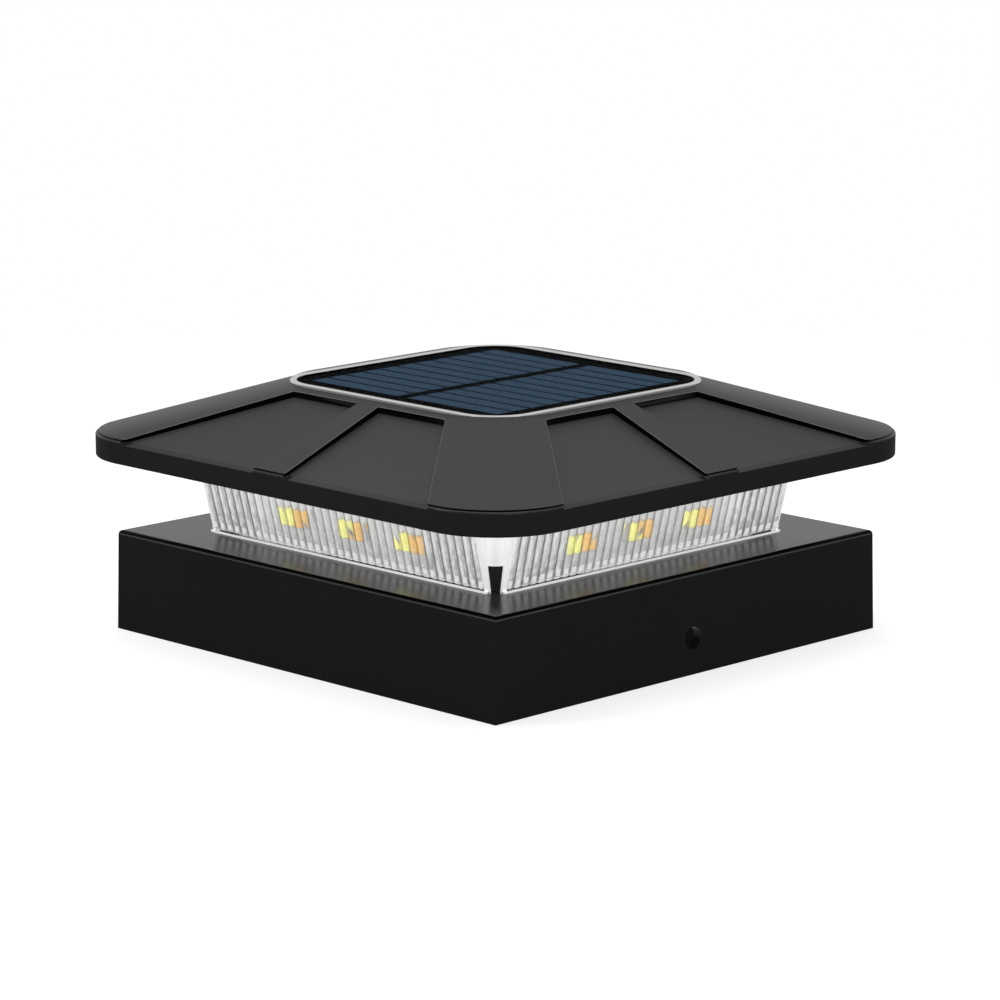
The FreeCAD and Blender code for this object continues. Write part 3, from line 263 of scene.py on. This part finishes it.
def roofFinish(look):
    # satin slopes over a polished rim, with painted shade on the steps, painted highlights along the moulded
    # edges and a painted reflection on the lip
    material, recipe, place = newFinish(look["name"])
    across, along, height = recipe.axes(place)
    low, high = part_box("roof_shell")
    slope = recipe.ramp(height, low.z + look["rimHeight"] - look["soften"], low.z + look["rimHeight"])
    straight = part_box("solar_glaze")[1].x - panelCorner
    beyond = [(abs(axis) - straight).maths("MAXIMUM", 0.0) for axis in (across, along)]
    reach = (beyond[0] * beyond[0] + beyond[1] * beyond[1]).maths("SQRT")
    # a painted reflection of the bright backdrop on the flat top round the panel: pale next to it, grey a
    # little further out
    top = height > high.z - look["lipDepth"]
    lip = top * (reach < panelCorner + look["lipWidth"])
    shoulder = top * (reach < panelCorner + look["shoulderWidth"])
    foot = height < low.z + look["landFoot"]  # the lands end in a step there, whose eased edges get the steps' painted shade
    # the eased edges carry a painted highlight, except at the foot of the lands
    eased = recipe.attribute("edge")
    edge = eased * slope * (1 - foot)
    # painted shade on the upright steps and the lands' ends; Metallic there takes away their reflection, so
    # the painted shade stays black
    step = recipe.attribute("step").maths("MAXIMUM", eased * foot) * slope
    drift, grain = mouldedNoise(recipe, place, look)
    colour = recipe.blend(slope, look["rim"], recipe.vary(drift, look["slope"], look["spread"]))
    for share, paint in ((step, look["step"]), (edge * look["edgeHighlightShow"], look["edge"]),
                         (shoulder, look["shoulder"]), (lip, look["lip"])):
        colour = recipe.blend(share, colour, paint)
    rough = look["rimRough"] + slope * (look["slopeRough"] - look["rimRough"])
    return closeFinish(material, recipe, {
        "Base Color": colour, "Roughness": around(rough, drift, look["roughSpread"]),
        "Specular IOR Level": look["specular"], "Metallic": step,
        "Normal": recipe.bump(grain, look["grainDepth"])})


finishes["black_roof"] = roofFinish(roofPaint)

# dark and pale are a painted reflection and a painted highlight along the skirt's rounded top edge
basePaint = {"name": "blackBase", "colour": (0.011, 0.011, 0.0112), "spread": 0.08,
             "dark": (0.001, 0.001, 0.001), "pale": (0.05, 0.05, 0.05), "edgeWidth": 2.0 * mm,
             "darkStart": 0.03 * mm, "darkDepth": 0.85 * mm, "paleDepth": 1.3 * mm,
             "rough": 0.22, "roughSpread": 0.04, "specular": 0.16,
             "driftScale": 45, "grainScale": 2600, "grainDepth": 0.0005 * mm}


def baseFinish(look):
    # polished black skirt whose rounded top edge carries a painted dark reflection above and a painted
    # highlight below
    material, recipe, place = newFinish(look["name"])
    across, along, height = recipe.axes(place)
    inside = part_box("base_shell")[1].x - look["edgeWidth"]
    top = topBeyond("base_shell", inside)
    outer = abs(across).maths("MAXIMUM", abs(along)) > inside
    # painted dark reflection on the upper part of the round; Metallic there takes away its own reflection
    dark = (height > top - look["darkDepth"]) * (height < top - look["darkStart"]) * outer
    # painted highlight on the lower part of the round
    pale = (height > top - look["paleDepth"]) * (height < top - look["darkDepth"]) * outer
    drift, grain = mouldedNoise(recipe, place, look)
    colour = recipe.blend(dark, recipe.vary(drift, look["colour"], look["spread"]), look["dark"])
    return closeFinish(material, recipe, {
        "Base Color": recipe.blend(pale, colour, look["pale"]),
        "Roughness": around(look["rough"], drift, look["roughSpread"]),
        "Specular IOR Level": look["specular"], "Metallic": dark,
        "Normal": recipe.bump(grain, look["grainDepth"])})


finishes["black_base"] = baseFinish(basePaint)

metalLook = {"drawn": (1, 1, 12), "scratchScale": 900, "scratchRough": 0.18, "scratchDepth": 0.01 * mm,
             "tarnishScale": 160, "tarnishShade": 0.82, "tarnishRough": 0.1}
metalPaints = {
    "capacitor_can": {"name": "drawnCan", "colour": (0.78, 0.79, 0.81), "rough": 0.25},
    "nickel_spring": {"name": "nickelSpring", "colour": (0.72, 0.69, 0.63), "rough": 0.28},
    "steel_pin": {"name": "groundPin", "colour": (0.6, 0.6, 0.6), "rough": 0.3, "drawn": (1, 14, 1)},
    "plated_screw": {"name": "zincPlate", "colour": (0.62, 0.62, 0.6), "rough": 0.3},
}


def metalFinish(look):
    # rolled or plated metal: faint scratches along one way and blotches of tarnish
    material, recipe, place = newFinish(look["name"])
    scratch = recipe.noise(recipe.stretch(place, look["drawn"]), look["scratchScale"], detail=3, rough=0.65)
    tarnish = recipe.noise(place, look["tarnishScale"], detail=3)
    rough = around(around(look["rough"], scratch, look["scratchRough"]), tarnish, look["tarnishRough"])
    return closeFinish(material, recipe, {
        "Base Color": recipe.blend(tarnish, shaded(look["colour"], look["tarnishShade"]), look["colour"]),
        "Roughness": rough, "Metallic": 1.0, "Normal": recipe.bump(scratch, look["scratchDepth"])})


paintAll(metalFinish, metalLook, metalPaints)

boardLook = {"weave": 0.8 * mm, "weaveShow": 0.35, "weaveDepth": 0.01 * mm, "cloudScale": 120,
             "cloudShow": 0.4, "spread": 0.2, "roughSpread": 0.1, "paintedGlow": 0.0}
boardPaints = {
    # the white board has a painted glow, so it reads bright through the lens
    "white_board": {"name": "whiteMask", "colour": (0.72, 0.72, 0.71), "rough": 0.35, "paintedGlow": 0.72},
    "green_board": {"name": "greenMask", "colour": (0.02, 0.17, 0.06), "rough": 0.3},
}


def boardFinish(look):
    # solder mask over glass cloth, with the weave just telling through, and a painted glow where a paint asks
    # for one
    material, recipe, place = newFinish(look["name"])
    weave = [axis % look["weave"] < look["weave"] / 2 for axis in recipe.axes(place)]
    cloth = weave[0] * weave[1]
    cloud = recipe.noise(place, look["cloudScale"], detail=3)
    shade = cloth * look["weaveShow"] + cloud * look["cloudShow"]
    colour = recipe.vary(shade, look["colour"], look["spread"])
    values = {"Base Color": colour, "Roughness": around(look["rough"], cloud, look["roughSpread"]),
              "Normal": recipe.bump(cloth, look["weaveDepth"])}
    # a painted glow: the surface shines its own colour
    if look["paintedGlow"]:
        values.update({"Emission Color": colour, "Emission Strength": look["paintedGlow"]})
    return closeFinish(material, recipe, values)


paintAll(boardFinish, boardLook, boardPaints)

phosphorLook = {"darkest": 0.88, "lightest": 1.1, "powderScale": 3500, "powderDepth": 0.02 * mm,
                "rough": 0.25, "roughSpread": 0.1, "coat": 0.6}
phosphorPaints = {
    # the phosphors' glow is painted: the LEDs are not lit
    "cool_phosphor": {"name": "coolPhosphor", "colour": (0.93, 0.89, 0.14), "paintedGlow": 1.15},
    "warm_phosphor": {"name": "warmPhosphor", "colour": (0.96, 0.49, 0.01), "paintedGlow": 1.0},
}


def phosphorFinish(look):
    # phosphor in clear silicone: grains of powder under a coat, and a painted glow
    material, recipe, place = newFinish(look["name"])
    powder = recipe.noise(place, look["powderScale"], detail=3, rough=0.7)
    colour = recipe.blend(powder, shaded(look["colour"], look["darkest"]),
                          shaded(look["colour"], look["lightest"]))
    return closeFinish(material, recipe, {
        "Base Color": colour, "Roughness": around(look["rough"], powder, look["roughSpread"]),
        "Coat Weight": look["coat"], "Emission Color": colour, "Emission Strength": look["paintedGlow"],
        "Normal": recipe.bump(powder, look["powderDepth"])})


paintAll(phosphorFinish, phosphorLook, phosphorPaints)

cellPaint = {"name": "solarSilicon", "dark": (0.031, 0.058, 0.094), "light": (0.047, 0.082, 0.125),
             "deep": (0.024, 0.050, 0.084), "crystalScale": 1500, "rowStep": 180.0, "rowShow": 0.35,
             "silver": (0.06, 0.09, 0.13), "fingerStart": 0.3 * mm, "fingerPitch": 1.3 * mm,
             "fingerWidth": 0.12 * mm, "fingerShow": 0.3, "flankShade": (0.001, 0.001, 0.001),
             "flankDepth": 0.01 * mm, "rough": 0.42, "roughSpread": 0.2, "specular": 0.0}


def cellFinish(look):
    # silicon strips with faint silver fingers across them, crystal sparkle, and flanks painted black as the
    # shade in the gaps between strips
    material, recipe, place = newFinish(look["name"])
    along, across, up = recipe.axes(place)
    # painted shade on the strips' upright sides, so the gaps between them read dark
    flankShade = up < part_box("solar_cells")[1].z - look["flankDepth"]
    finger = (along + look["fingerStart"]) % look["fingerPitch"] < look["fingerWidth"]
    row = recipe.noise(recipe.add("ShaderNodeCombineXYZ", {}, {"Y": across * look["rowStep"]}), 1.0, detail=0)
    crystal = recipe.noise(place, look["crystalScale"], detail=3, rough=0.7)
    colour = recipe.blend(crystal, look["dark"], look["light"])
    for share, paint in ((row * look["rowShow"], look["deep"]),
                         (finger * look["fingerShow"], look["silver"]), (flankShade, look["flankShade"])):
        colour = recipe.blend(share, colour, paint)
    return closeFinish(material, recipe, {
        "Base Color": colour, "Roughness": around(look["rough"], crystal, look["roughSpread"]),
        "Specular IOR Level": look["specular"]})


finishes["solar_silicon"] = cellFinish(cellPaint)

glazePaint = {"name": "clearResin", "colour": (0.010, 0.012, 0.015), "dust": 1.5, "film": 0.008,
              "filmScale": 60, "rough": 0.18, "roughSpread": 0.12, "peelScale": 420, "peelDepth": 0.01 * mm}


def glazeFinish(look):
    # cast clear resin: a dust film and the slightest orange peel
    material, recipe, place = newFinish(look["name"])
    film = recipe.noise(place, look["filmScale"], detail=4, rough=0.6)
    peel = recipe.noise(place, look["peelScale"])
    return closeFinish(material, recipe, {
        "Base Color": recipe.blend(film, look["colour"], shaded(look["colour"], look["dust"])),
        "Roughness": around(look["rough"], film, look["roughSpread"]),
        "Alpha": around(look["film"], film, look["film"]), "Normal": recipe.bump(peel, look["peelDepth"])})


finishes["clear_resin"] = glazeFinish(glazePaint)

# the haze is milky resin over the clear one, with a painted glow: more of it at the foot, the ends and the
# bands, and on the bead, where it is a painted highlight
lensPaint = {"name": "clearLens", "colour": (0.95, 0.955, 0.96), "window": (0.84, 0.84, 0.84),
             "rough": 0.03, "ior": 1.5, "flutes": 36,
             "shade": (0.66, 0.66, 0.67), "sheenRise": (0.06, 0.24), "sheenFall": (0.36, 0.78),
             "sheenShow": 0.5, "drawn": (1, 1, 0.2), "streakScale": 1300, "streakRange": (0.42, 0.60),
             "streakShow": 0.35, "grooveShadeColour": (0.10, 0.10, 0.105), "grooveShare": 0.16, "grooveShow": 0.85,
             "mottleScale": 420, "mottleRange": (0.40, 0.62), "mottleDepth": 0.03 * mm, "mottleRough": 0.10,
             "milk": (0.95, 0.95, 0.95), "milkRough": 0.35, "paintedGlow": 0.46, "bright": (0.95, 0.95, 0.95),
             "cloud": (0.36, 0.36, 0.365), "cloudShow": 0.8, "haze": 0.30,
             "footHaze": 0.36, "hazeLow": 2.0 * mm, "hazeHigh": 14 * mm,
             "endHaze": 0.7, "endRange": (0.28, 0.34), "bandShow": 0.92,
             "beadLow": 2.3 * mm, "beadHigh": 3.9 * mm, "beadShare": 0.24, "beadShow": 0.5}


def lensFinish(look):
    # clear polycarbonate that the flutes, the corner bands and the foot bead turn milky, with a painted glow
    # in the milk, a painted highlight down one side of each flute and on the bead, and painted shade in the
    # grooves
    material, recipe, place = newFinish(look["name"])
    rise = recipe.axes(place)[2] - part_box("lens")[0].z
    fluted, band, span = [recipe.attribute(name) for name in ("weight", "band", "place")]
    phase = (span * look["flutes"]) % 1.0
    crest = abs(phase - 0.5)  # 0 on a reed, 0.5 in a groove
    # painted shade in the grooves, where the steep sides turn the light away
    grooveShade = recipe.ramp(crest, 0.5 - look["grooveShare"], 0.5) * fluted
    mottle = recipe.noise(place, look["mottleScale"], detail=3, rough=0.6)
    spots = recipe.ramp(mottle, *look["mottleRange"])
    cloud = spots * (1 - recipe.ramp(rise, look["hazeLow"], look["hazeHigh"]))
    # a painted highlight on the reed crests just above the foot
    bead = (rise > look["beadLow"]) * (rise < look["beadHigh"]) * (crest < look["beadShare"]) * fluted
    ends = recipe.ramp(abs(span - 0.5), *look["endRange"])
    # a painted highlight down one side of each flute and painted shade on the rest, which shade carries along
    # with the streaks
    sheenHighlight = recipe.ramp(phase, *look["sheenRise"]) - recipe.ramp(phase, *look["sheenFall"])
    streak = recipe.ramp(recipe.noise(recipe.stretch(place, look["drawn"]), look["streakScale"],
                                      detail=3, rough=0.65), *look["streakRange"])
    shade = ((1 - sheenHighlight) * look["sheenShow"] + streak * look["streakShow"]) * fluted
    window = (1 - fluted) * (1 - band)
    tint = recipe.blend(shade, recipe.blend(window, look["colour"], look["window"]), look["shade"])
    clear = recipe.add("ShaderNodeBsdfPrincipled", {}, {
        "Base Color": recipe.blend(grooveShade * look["grooveShow"], tint, look["grooveShadeColour"]),
        "Roughness": look["rough"] + spots * fluted * look["mottleRough"], "IOR": look["ior"],
        "Transmission Weight": 1.0, "Normal": recipe.bump(mottle, look["mottleDepth"] * fluted)})
    tone = look["milk"]
    for share, paint in ((cloud * look["cloudShow"], look["cloud"]), (shade, look["cloud"]),
                         (grooveShade * look["grooveShow"], look["grooveShadeColour"]),
                         (band.maths("MAXIMUM", bead), look["bright"])):
        tone = recipe.blend(share, tone, paint)
    # the milky layer has a painted glow, so the lens reads bright from within
    milky = recipe.add("ShaderNodeBsdfPrincipled", {}, {
        "Base Color": tone, "Roughness": look["milkRough"], "Emission Color": tone,
        "Emission Strength": look["paintedGlow"]})
    haze = fluted * (look["haze"] + cloud * look["footHaze"] + ends * look["endHaze"])
    milk = (haze + bead * look["beadShow"]).maths("MAXIMUM", band * look["bandShow"]).maths("MINIMUM", 1.0)
    recipe.add("ShaderNodeOutputMaterial", {}, {"Surface": recipe.mix(milk, clear, milky)})
    return material


finishes["clear_lens"] = lensFinish(lensPaint)

for name, thing in nodes.items():
    thing.data.materials.clear()
    thing.data.materials.append(finishes[slotOf[name]])
print("finishes:", len(finishes))


def newPiece(name, mesh):
    piece = bpy.data.objects.new(name, mesh)
    bpy.context.scene.collection.objects.link(piece)
    return piece


def meshFrom(form, name):
    # turns the faces outwards and hands them over as a mesh
    bmesh.ops.recalc_face_normals(form, faces=form.faces)
    mesh = bpy.data.meshes.new(name)
    form.to_mesh(mesh)
    form.free()
    return mesh


def joinRings(form, first, second):
    for index in range(len(first)):
        after = (index + 1) % len(first)
        form.faces.new((first[index], first[after], second[after], second[index]))


def plainMesh(piece):
    # what the modifiers make becomes the mesh, and the modifiers go
    graph = bpy.context.evaluated_depsgraph_get()
    made = bpy.data.meshes.new_from_object(piece.evaluated_get(graph))
    piece.modifiers.clear()
    piece.data = made
    return made


def smoothUpTo(mesh, degrees):
    mesh.shade_smooth()
    mesh.set_sharp_from_angle(angle=math.radians(degrees))


def standFor(piece, nodeName):
    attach(piece, "light")
    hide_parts(nodeName)


roofLook = {"name": "roofShell", "merge": 0.002 * mm, "flat": 0.05, "width": 0.22 * mm, "segments": 2,
            "angle": 28, "sharp": 50, "upright": 0.5}
baseLook = {**roofLook, "name": "baseShell", "width": 0.18 * mm}


def markFaces(mesh, look):
    # eased edges and upright steps become attributes, so that a finish can paint a highlight on the edges and
    # shade on the steps
    edge = mesh.attributes.new("edge", "FLOAT", "FACE")
    step = mesh.attributes.new("step", "FLOAT", "FACE")
    for face, pale, dark in zip(mesh.polygons, edge.data, step.data):
        pale.value = float(face.material_index)
        dark.value = float(abs(face.normal.z) < look["upright"] and not face.material_index)
        face.material_index = 0
    mesh.materials.pop()


def softened(nodeName, look):
    # a copy of a moulding with its sharp edges eased
    mesh = nodes[nodeName].data.copy()
    form = bmesh.new()
    form.from_mesh(mesh)
    bmesh.ops.remove_doubles(form, verts=form.verts, dist=look["merge"])
    bmesh.ops.dissolve_limit(form, angle_limit=math.radians(look["flat"]), verts=form.verts, edges=form.edges)
    outward = form.edges.layers.float.new("bevel_weight_edge")
    for edge in form.edges:
        sharp = edge.calc_face_angle(0) > math.radians(look["angle"])
        edge[outward] = float(edge.is_manifold and edge.is_convex and sharp)
    form.to_mesh(mesh)
    form.free()
    mesh.materials.append(finishes[slotOf[nodeName]])  # a second slot, which marks the eased faces
    piece = newPiece(look["name"], mesh)
    ease = piece.modifiers.new("ease", "BEVEL")
    ease.width = look["width"]
    ease.segments = look["segments"]
    ease.limit_method = "WEIGHT"
    ease.use_clamp_overlap = True
    ease.material = 1
    made = plainMesh(piece)
    markFaces(made, look)
    smoothUpTo(made, look["sharp"])
    even = piece.modifiers.new("even", "WEIGHTED_NORMAL")
    even.keep_sharp = True
    plainMesh(piece)
    standFor(piece, nodeName)
    print(look["name"], "faces:", len(piece.data.polygons))


softened("roof_shell", roofLook)
softened("base_shell", baseLook)

glazeLook = {"name": "glazeSheet", "lift": 0.05 * mm, "meniscus": 0.12 * mm, "arc": 12}


def makeGlaze(look):
    # a thin cast sheet over the cells, with a rounded edge
    low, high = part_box("solar_glaze")
    rings = ((0.0, low.z + look["lift"]), (0.0, high.z - look["meniscus"]), (look["meniscus"], high.z))
    form = bmesh.new()
    loops = []
    for inset, level in rings:
        loop = []
        for side in range(4):
            middle = Vector((high.x - panelCorner, high.y - panelCorner, 0))
            spin = Matrix.Rotation(math.pi / 2 * side, 3, "Z")
            for index in range(look["arc"] + 1):
                bend = math.pi / 2 * index / look["arc"]
                out = Vector((math.cos(bend), math.sin(bend), 0)) * (panelCorner - inset)
                loop.append(form.verts.new(spin @ (middle + out) + Vector((0, 0, level))))
        loops.append(loop)
    for first, second in zip(loops, loops[1:]):
        joinRings(form, first, second)
    form.faces.new(loops[0])
    form.faces.new(loops[-1])
    mesh = meshFrom(form, look["name"])
    mesh.materials.append(finishes["clear_resin"])
    standFor(newPiece(look["name"], mesh), "solar_glaze")
    print(look["name"], "faces:", len(mesh.polygons))


makeGlaze(glazeLook)

lensLook = {"name": "flutedLens", "flutes": lensPaint["flutes"], "samples": 6, "depth": 0.2 * mm,
            "roundness": 0.7, "plainColumns": 2, "rows": 7, "fade": 0.9 * mm,
            "fadeSteps": ((0.0, 0.0), (0.3, 0.6), (1.0, 1.0)), "footGap": 0.4 * mm, "headGap": 1.2 * mm,
            "wall": 2.0 * mm, "spigot": 0.6 * mm, "flangeHigh": 0.5 * mm,
            "windowFoot": 2.2 * mm, "windowHead": 3.9 * mm, "windowRise": 15 * mm,
            "bandLeast": 0.1, "bandInset": 0.02, "bandStep": 0.01, "sharp": 32}


def lensRows(look):
    # the wall's section, once round: out from the foot, up the fluted face and down the inner wall
    low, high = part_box("lens")
    seat = low.z + look["spigot"]  # the plate's level, on which the flange lies
    step = seat + look["flangeHigh"]
    foot, head = reachAt("lens", low.z), reachAt("lens", high.z)
    flange = reachAt("lens", seat)[0] - foot[0]
    wall, fade = look["wall"], look["fade"]

    def row(level, offset=0.0, weight=0.0, pale=False):
        share = max(0.0, (level - step) / (high.z - step))
        half, cut = [below + share * (above - below) + offset for below, above in zip(foot, head)]
        return {"half": half, "cut": cut, "level": level, "weight": weight, "pale": pale,
                "rise": level - step, "aboveSeat": level > seat}

    start, end = step + look["footGap"], high.z - look["headGap"]
    between = (end - start - 2 * fade) / look["rows"]
    fluted = [row(start + fade * part, weight=weight) for part, weight in look["fadeSteps"]]
    fluted += [row(start + fade + between * index, weight=1.0) for index in range(1, look["rows"])]
    fluted += [row(end - fade * part, weight=weight) for part, weight in reversed(look["fadeSteps"])]
    # the flange's rows are pale: a painted highlight along the foot of the lens
    return ([row(low.z, -wall), row(low.z), row(seat), row(seat, flange, pale=True),
             row(step, flange, pale=True), row(step)]
            + fluted + [row(high.z), row(high.z, -wall), row(step, -wall)])


def cornerColumns(form, band, look, row, start, end):
    # extra upright lines across a cut corner: pale bands at its sides and a clear window between them
    share = max(0.0, min(1.0, row["rise"] / look["windowRise"]))
    window = look["windowFoot"] + share * (look["windowHead"] - look["windowFoot"])
    inside = max(look["bandLeast"], 0.5 - window / (end - start).length)
    half = ((look["bandInset"], 1.0), (inside, 1.0), (inside + look["bandStep"], 0.0))
    columns = []
    for place, pale in half + tuple((1.0 - place, pale) for place, pale in reversed(half)):
        vert = form.verts.new(start.lerp(end, place) + Vector((0, 0, row["level"])))
        vert[band] = pale
        columns.append(vert)
    return columns


def lensSkeleton(look):
    # four flat sides with cut corners, divided finely enough for the flutes
    columns = look["flutes"] * look["samples"]
    plain = look["plainColumns"]
    form = bmesh.new()
    place, weight, band = [form.verts.layers.float.new(name) for name in ("place", "weight", "band")]
    way = form.verts.layers.float_vector.new("way")
    rings = []
    for row in lensRows(look):
        ring = []
        half = row["half"]
        reach = row["cut"] * math.sqrt(2) - half  # where a flat side meets the cut corner
        for side in range(4):
            turn = math.pi / 2 * side
            along = Vector((math.cos(turn), math.sin(turn), 0))
            out = Vector((math.sin(turn), -math.cos(turn), 0))
            for column in range(columns + 1):
                span = column / columns
                inEnd = not plain <= column <= columns - plain
                spot = along * ((2 * span - 1) * reach) + out * half + Vector((0, 0, row["level"]))
                vert = form.verts.new(spot)
                vert[place] = span
                vert[weight] = 0.0 if inEnd else row["weight"]
                vert[band] = float(row["pale"] or (inEnd and row["aboveSeat"]))
                vert[way] = out
                ring.append(vert)
            ring += cornerColumns(form, band, look, row, along * reach + out * half,
                                  along * half + out * reach)
        rings.append(ring)
    for first, second in zip(rings, rings[1:] + rings[:1]):
        joinRings(form, first, second)
    return meshFrom(form, look["name"])


def fluteTree(finish):
    # raises a row of round reeds along each side
    tree = bpy.data.node_groups.new("flutes", "GeometryNodeTree")
    face = tree.interface
    face.new_socket("Geometry", in_out="INPUT", socket_type="NodeSocketGeometry")
    for name in ("Count", "Depth", "Roundness"):
        face.new_socket(name, in_out="INPUT", socket_type="NodeSocketFloat")
    face.new_socket("Geometry", in_out="OUTPUT", socket_type="NodeSocketGeometry")
    recipe = Recipe(tree)
    start, count, depth, roundness = recipe.add("NodeGroupInput", give=(0, 1, 2, 3))
    span, weight, way = [
        recipe.add("GeometryNodeInputNamedAttribute", {"data_type": kind}, {"Name": name})
        for name, kind in (("place", "FLOAT"), ("weight", "FLOAT"), ("way", "FLOAT_VECTOR"))]
    swell = abs((span * count * math.pi).maths("SINE"))
    reed = swell ** roundness * weight * depth
    move = recipe.add("ShaderNodeVectorMath", {"operation": "SCALE"}, {0: way, "Scale": reed})
    moved = recipe.add("GeometryNodeSetPosition", {}, {"Geometry": start, "Offset": move})
    whole = recipe.add("GeometryNodeRealizeInstances", {}, {0: moved})
    coated = recipe.add("GeometryNodeSetMaterial", {}, {"Geometry": whole, "Material": finish})
    recipe.add("NodeGroupOutput", {}, {0: coated})
    return tree


def setInput(modifier, name, value):
    for item in modifier.node_group.interface.items_tree:
        if item.in_out == "INPUT" and item.name == name:
            modifier[item.identifier] = value


def makeLens(look):
    lens = newPiece(look["name"], lensSkeleton(look))
    reeds = lens.modifiers.new("reeds", "NODES")
    reeds.node_group = fluteTree(finishes["clear_lens"])
    setInput(reeds, "Count", float(look["flutes"]))
    setInput(reeds, "Depth", look["depth"])
    setInput(reeds, "Roundness", look["roundness"])
    made = plainMesh(lens)
    smoothUpTo(made, look["sharp"])
    standFor(lens, "lens")
    print(look["name"], "faces:", len(made.polygons))


makeLens(lensLook)

white = (1, 1, 1, 1)
floorLook = {"size": 5.0, "colour": (0.82, 0.82, 0.82, 1), "shown": (0.6, 0.6, 0.6, 1), "lift": 0.66,
             "near": 0.14, "far": 0.55, "inGloss": 0.10, "inset": 2 * mm, "fromBelow": 0.5}


def seenDirectly(recipe):
    camera, through, gloss = recipe.add("ShaderNodeLightPath", give=("Is Camera Ray", "Is Transmission Ray",
                                                                     "Is Glossy Ray"))
    return camera.maths("MAXIMUM", through), gloss


def whiteLight(recipe, strength):
    return recipe.add("ShaderNodeEmission", {}, {"Color": white, "Strength": strength})


def makeFloor(look):
    # a pale floor that keeps the object's shadow and turns white further out
    mesh = bpy.data.meshes.new("floor")
    edge = look["size"]
    mesh.from_pydata([(-edge, -edge, 0), (edge, -edge, 0), (edge, edge, 0), (-edge, edge, 0)], [],
                     [(0, 1, 2, 3)])
    floor = newPiece("floor", mesh)
    material, recipe, place = newFinish("paleFloor")
    seen, gloss = seenDirectly(recipe)
    out = [abs(axis) for axis in recipe.axes(place)]
    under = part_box("base_shell")[1].x - look["inset"]
    beside = out[0].maths("MAXIMUM", out[1]) > under
    far = recipe.add("ShaderNodeVectorMath", {"operation": "LENGTH"}, {0: place}, give="Value")
    matte = recipe.add("ShaderNodeBsdfDiffuse", {}, {"Color": look["colour"]})
    shadowed = recipe.add("ShaderNodeBsdfDiffuse", {}, {"Color": look["shown"]})
    lifted = recipe.add("ShaderNodeAddShader", {}, {0: shadowed, 1: whiteLight(recipe, look["lift"])})
    shown = recipe.mix(recipe.ramp(far, look["near"], look["far"]), recipe.mix(beside, shadowed, lifted),
                       whiteLight(recipe, 1.0))
    plain = recipe.mix(gloss, matte, whiteLight(recipe, look["inGloss"]))
    both = recipe.mix(seen, plain, shown)
    # what lies under the object lights its hollow, and the floor is clear to whoever looks from below
    filled = recipe.mix((1 - beside) * (1 - seen), both, whiteLight(recipe, look["fromBelow"]))
    beneath = recipe.add("ShaderNodeNewGeometry", give="Backfacing")
    whole = recipe.mix(beneath, filled, recipe.add("ShaderNodeBsdfTransparent"))
    recipe.add("ShaderNodeOutputMaterial", {}, {"Surface": whole})
    mesh.materials.append(material)


makeFloor(floorLook)

# the sky's stops run from straight down to straight up
skyLook = {"stops": ((0.0, 0.8), (0.40, 0.8), (0.495, 0.15), (0.51, 0.85), (0.62, 0.80), (0.74, 0.50),
                     (1.0, 0.50))}


def makeSky(look):
    world = bpy.data.worlds.new("studio")
    bpy.context.scene.world = world
    world.use_nodes = True
    world.node_tree.nodes.clear()
    recipe = Recipe(world.node_tree)
    seen = seenDirectly(recipe)[0]
    height = recipe.axes(recipe.add("ShaderNodeTexCoord", give="Generated"))[2]
    levels = [(stop, (level,) * 3) for stop, level in look["stops"]]
    tone = recipe.add("ShaderNodeValToRGB", {"stops": levels}, {"Fac": height * 0.5 + 0.5})
    dimmed, plain = [recipe.add("ShaderNodeBackground", {}, {"Color": colour, "Strength": 1.0})
                     for colour in (tone, white)]
    recipe.add("ShaderNodeOutputWorld", {}, {"Surface": recipe.mix(seen, dimmed, plain)})


makeSky(skyLook)

lampAim = Vector((0, 0, 40 * mm))
lampLooks = (
    {"name": "overhead", "place": (-0.1, 0.1, 1.5), "size": 0.9, "power": 6.0},
    {"name": "frontLeft", "place": (-0.9, -1.3, 0.9), "size": 0.5, "power": 5.2},
    {"name": "frontRight", "place": (1.3, -0.5, 0.8), "size": 0.5, "power": 3.0},
)


def placeLooking(name, data, place, way):
    # a lamp or camera that looks along the given way
    stand = bpy.data.objects.new(name, data)
    stand.location = place
    stand.rotation_euler = way.to_track_quat("-Z", "Y").to_euler()
    bpy.context.scene.collection.objects.link(stand)
    return stand


def makeLamps(looks):
    for look in looks:
        lamp = bpy.data.lights.new(look["name"], "AREA")
        lamp.size = look["size"]
        lamp.energy = look["power"]
        placeLooking(look["name"], lamp, look["place"], lampAim - Vector(look["place"]))


makeLamps(lampLooks)

# distances in metres, the lens and the sensor in millimetres
viewLook = {"azimuth": 45.0, "elevation": 11.797, "distance": 1.1777, "target": (0, 0, 0.0382),
            "lens": 146.1, "sensor": 36.0, "shift": 0.00445, "reach": 20.0}


def makeCamera(look):
    turn, rise = math.radians(look["azimuth"]), math.radians(look["elevation"])
    out = Vector((math.sin(turn) * math.cos(rise), -math.cos(turn) * math.cos(rise), math.sin(rise)))
    camera = bpy.data.cameras.new("camera")
    camera.lens = look["lens"]
    camera.sensor_width = look["sensor"]
    camera.shift_x = look["shift"]
    camera.clip_end = look["reach"]
    place = Vector(look["target"]) + out * look["distance"]
    bpy.context.scene.camera = placeLooking("camera", camera, place, -out)


makeCamera(viewLook)
bpy.context.scene.view_settings.view_transform = "Standard"
print("stage ready")
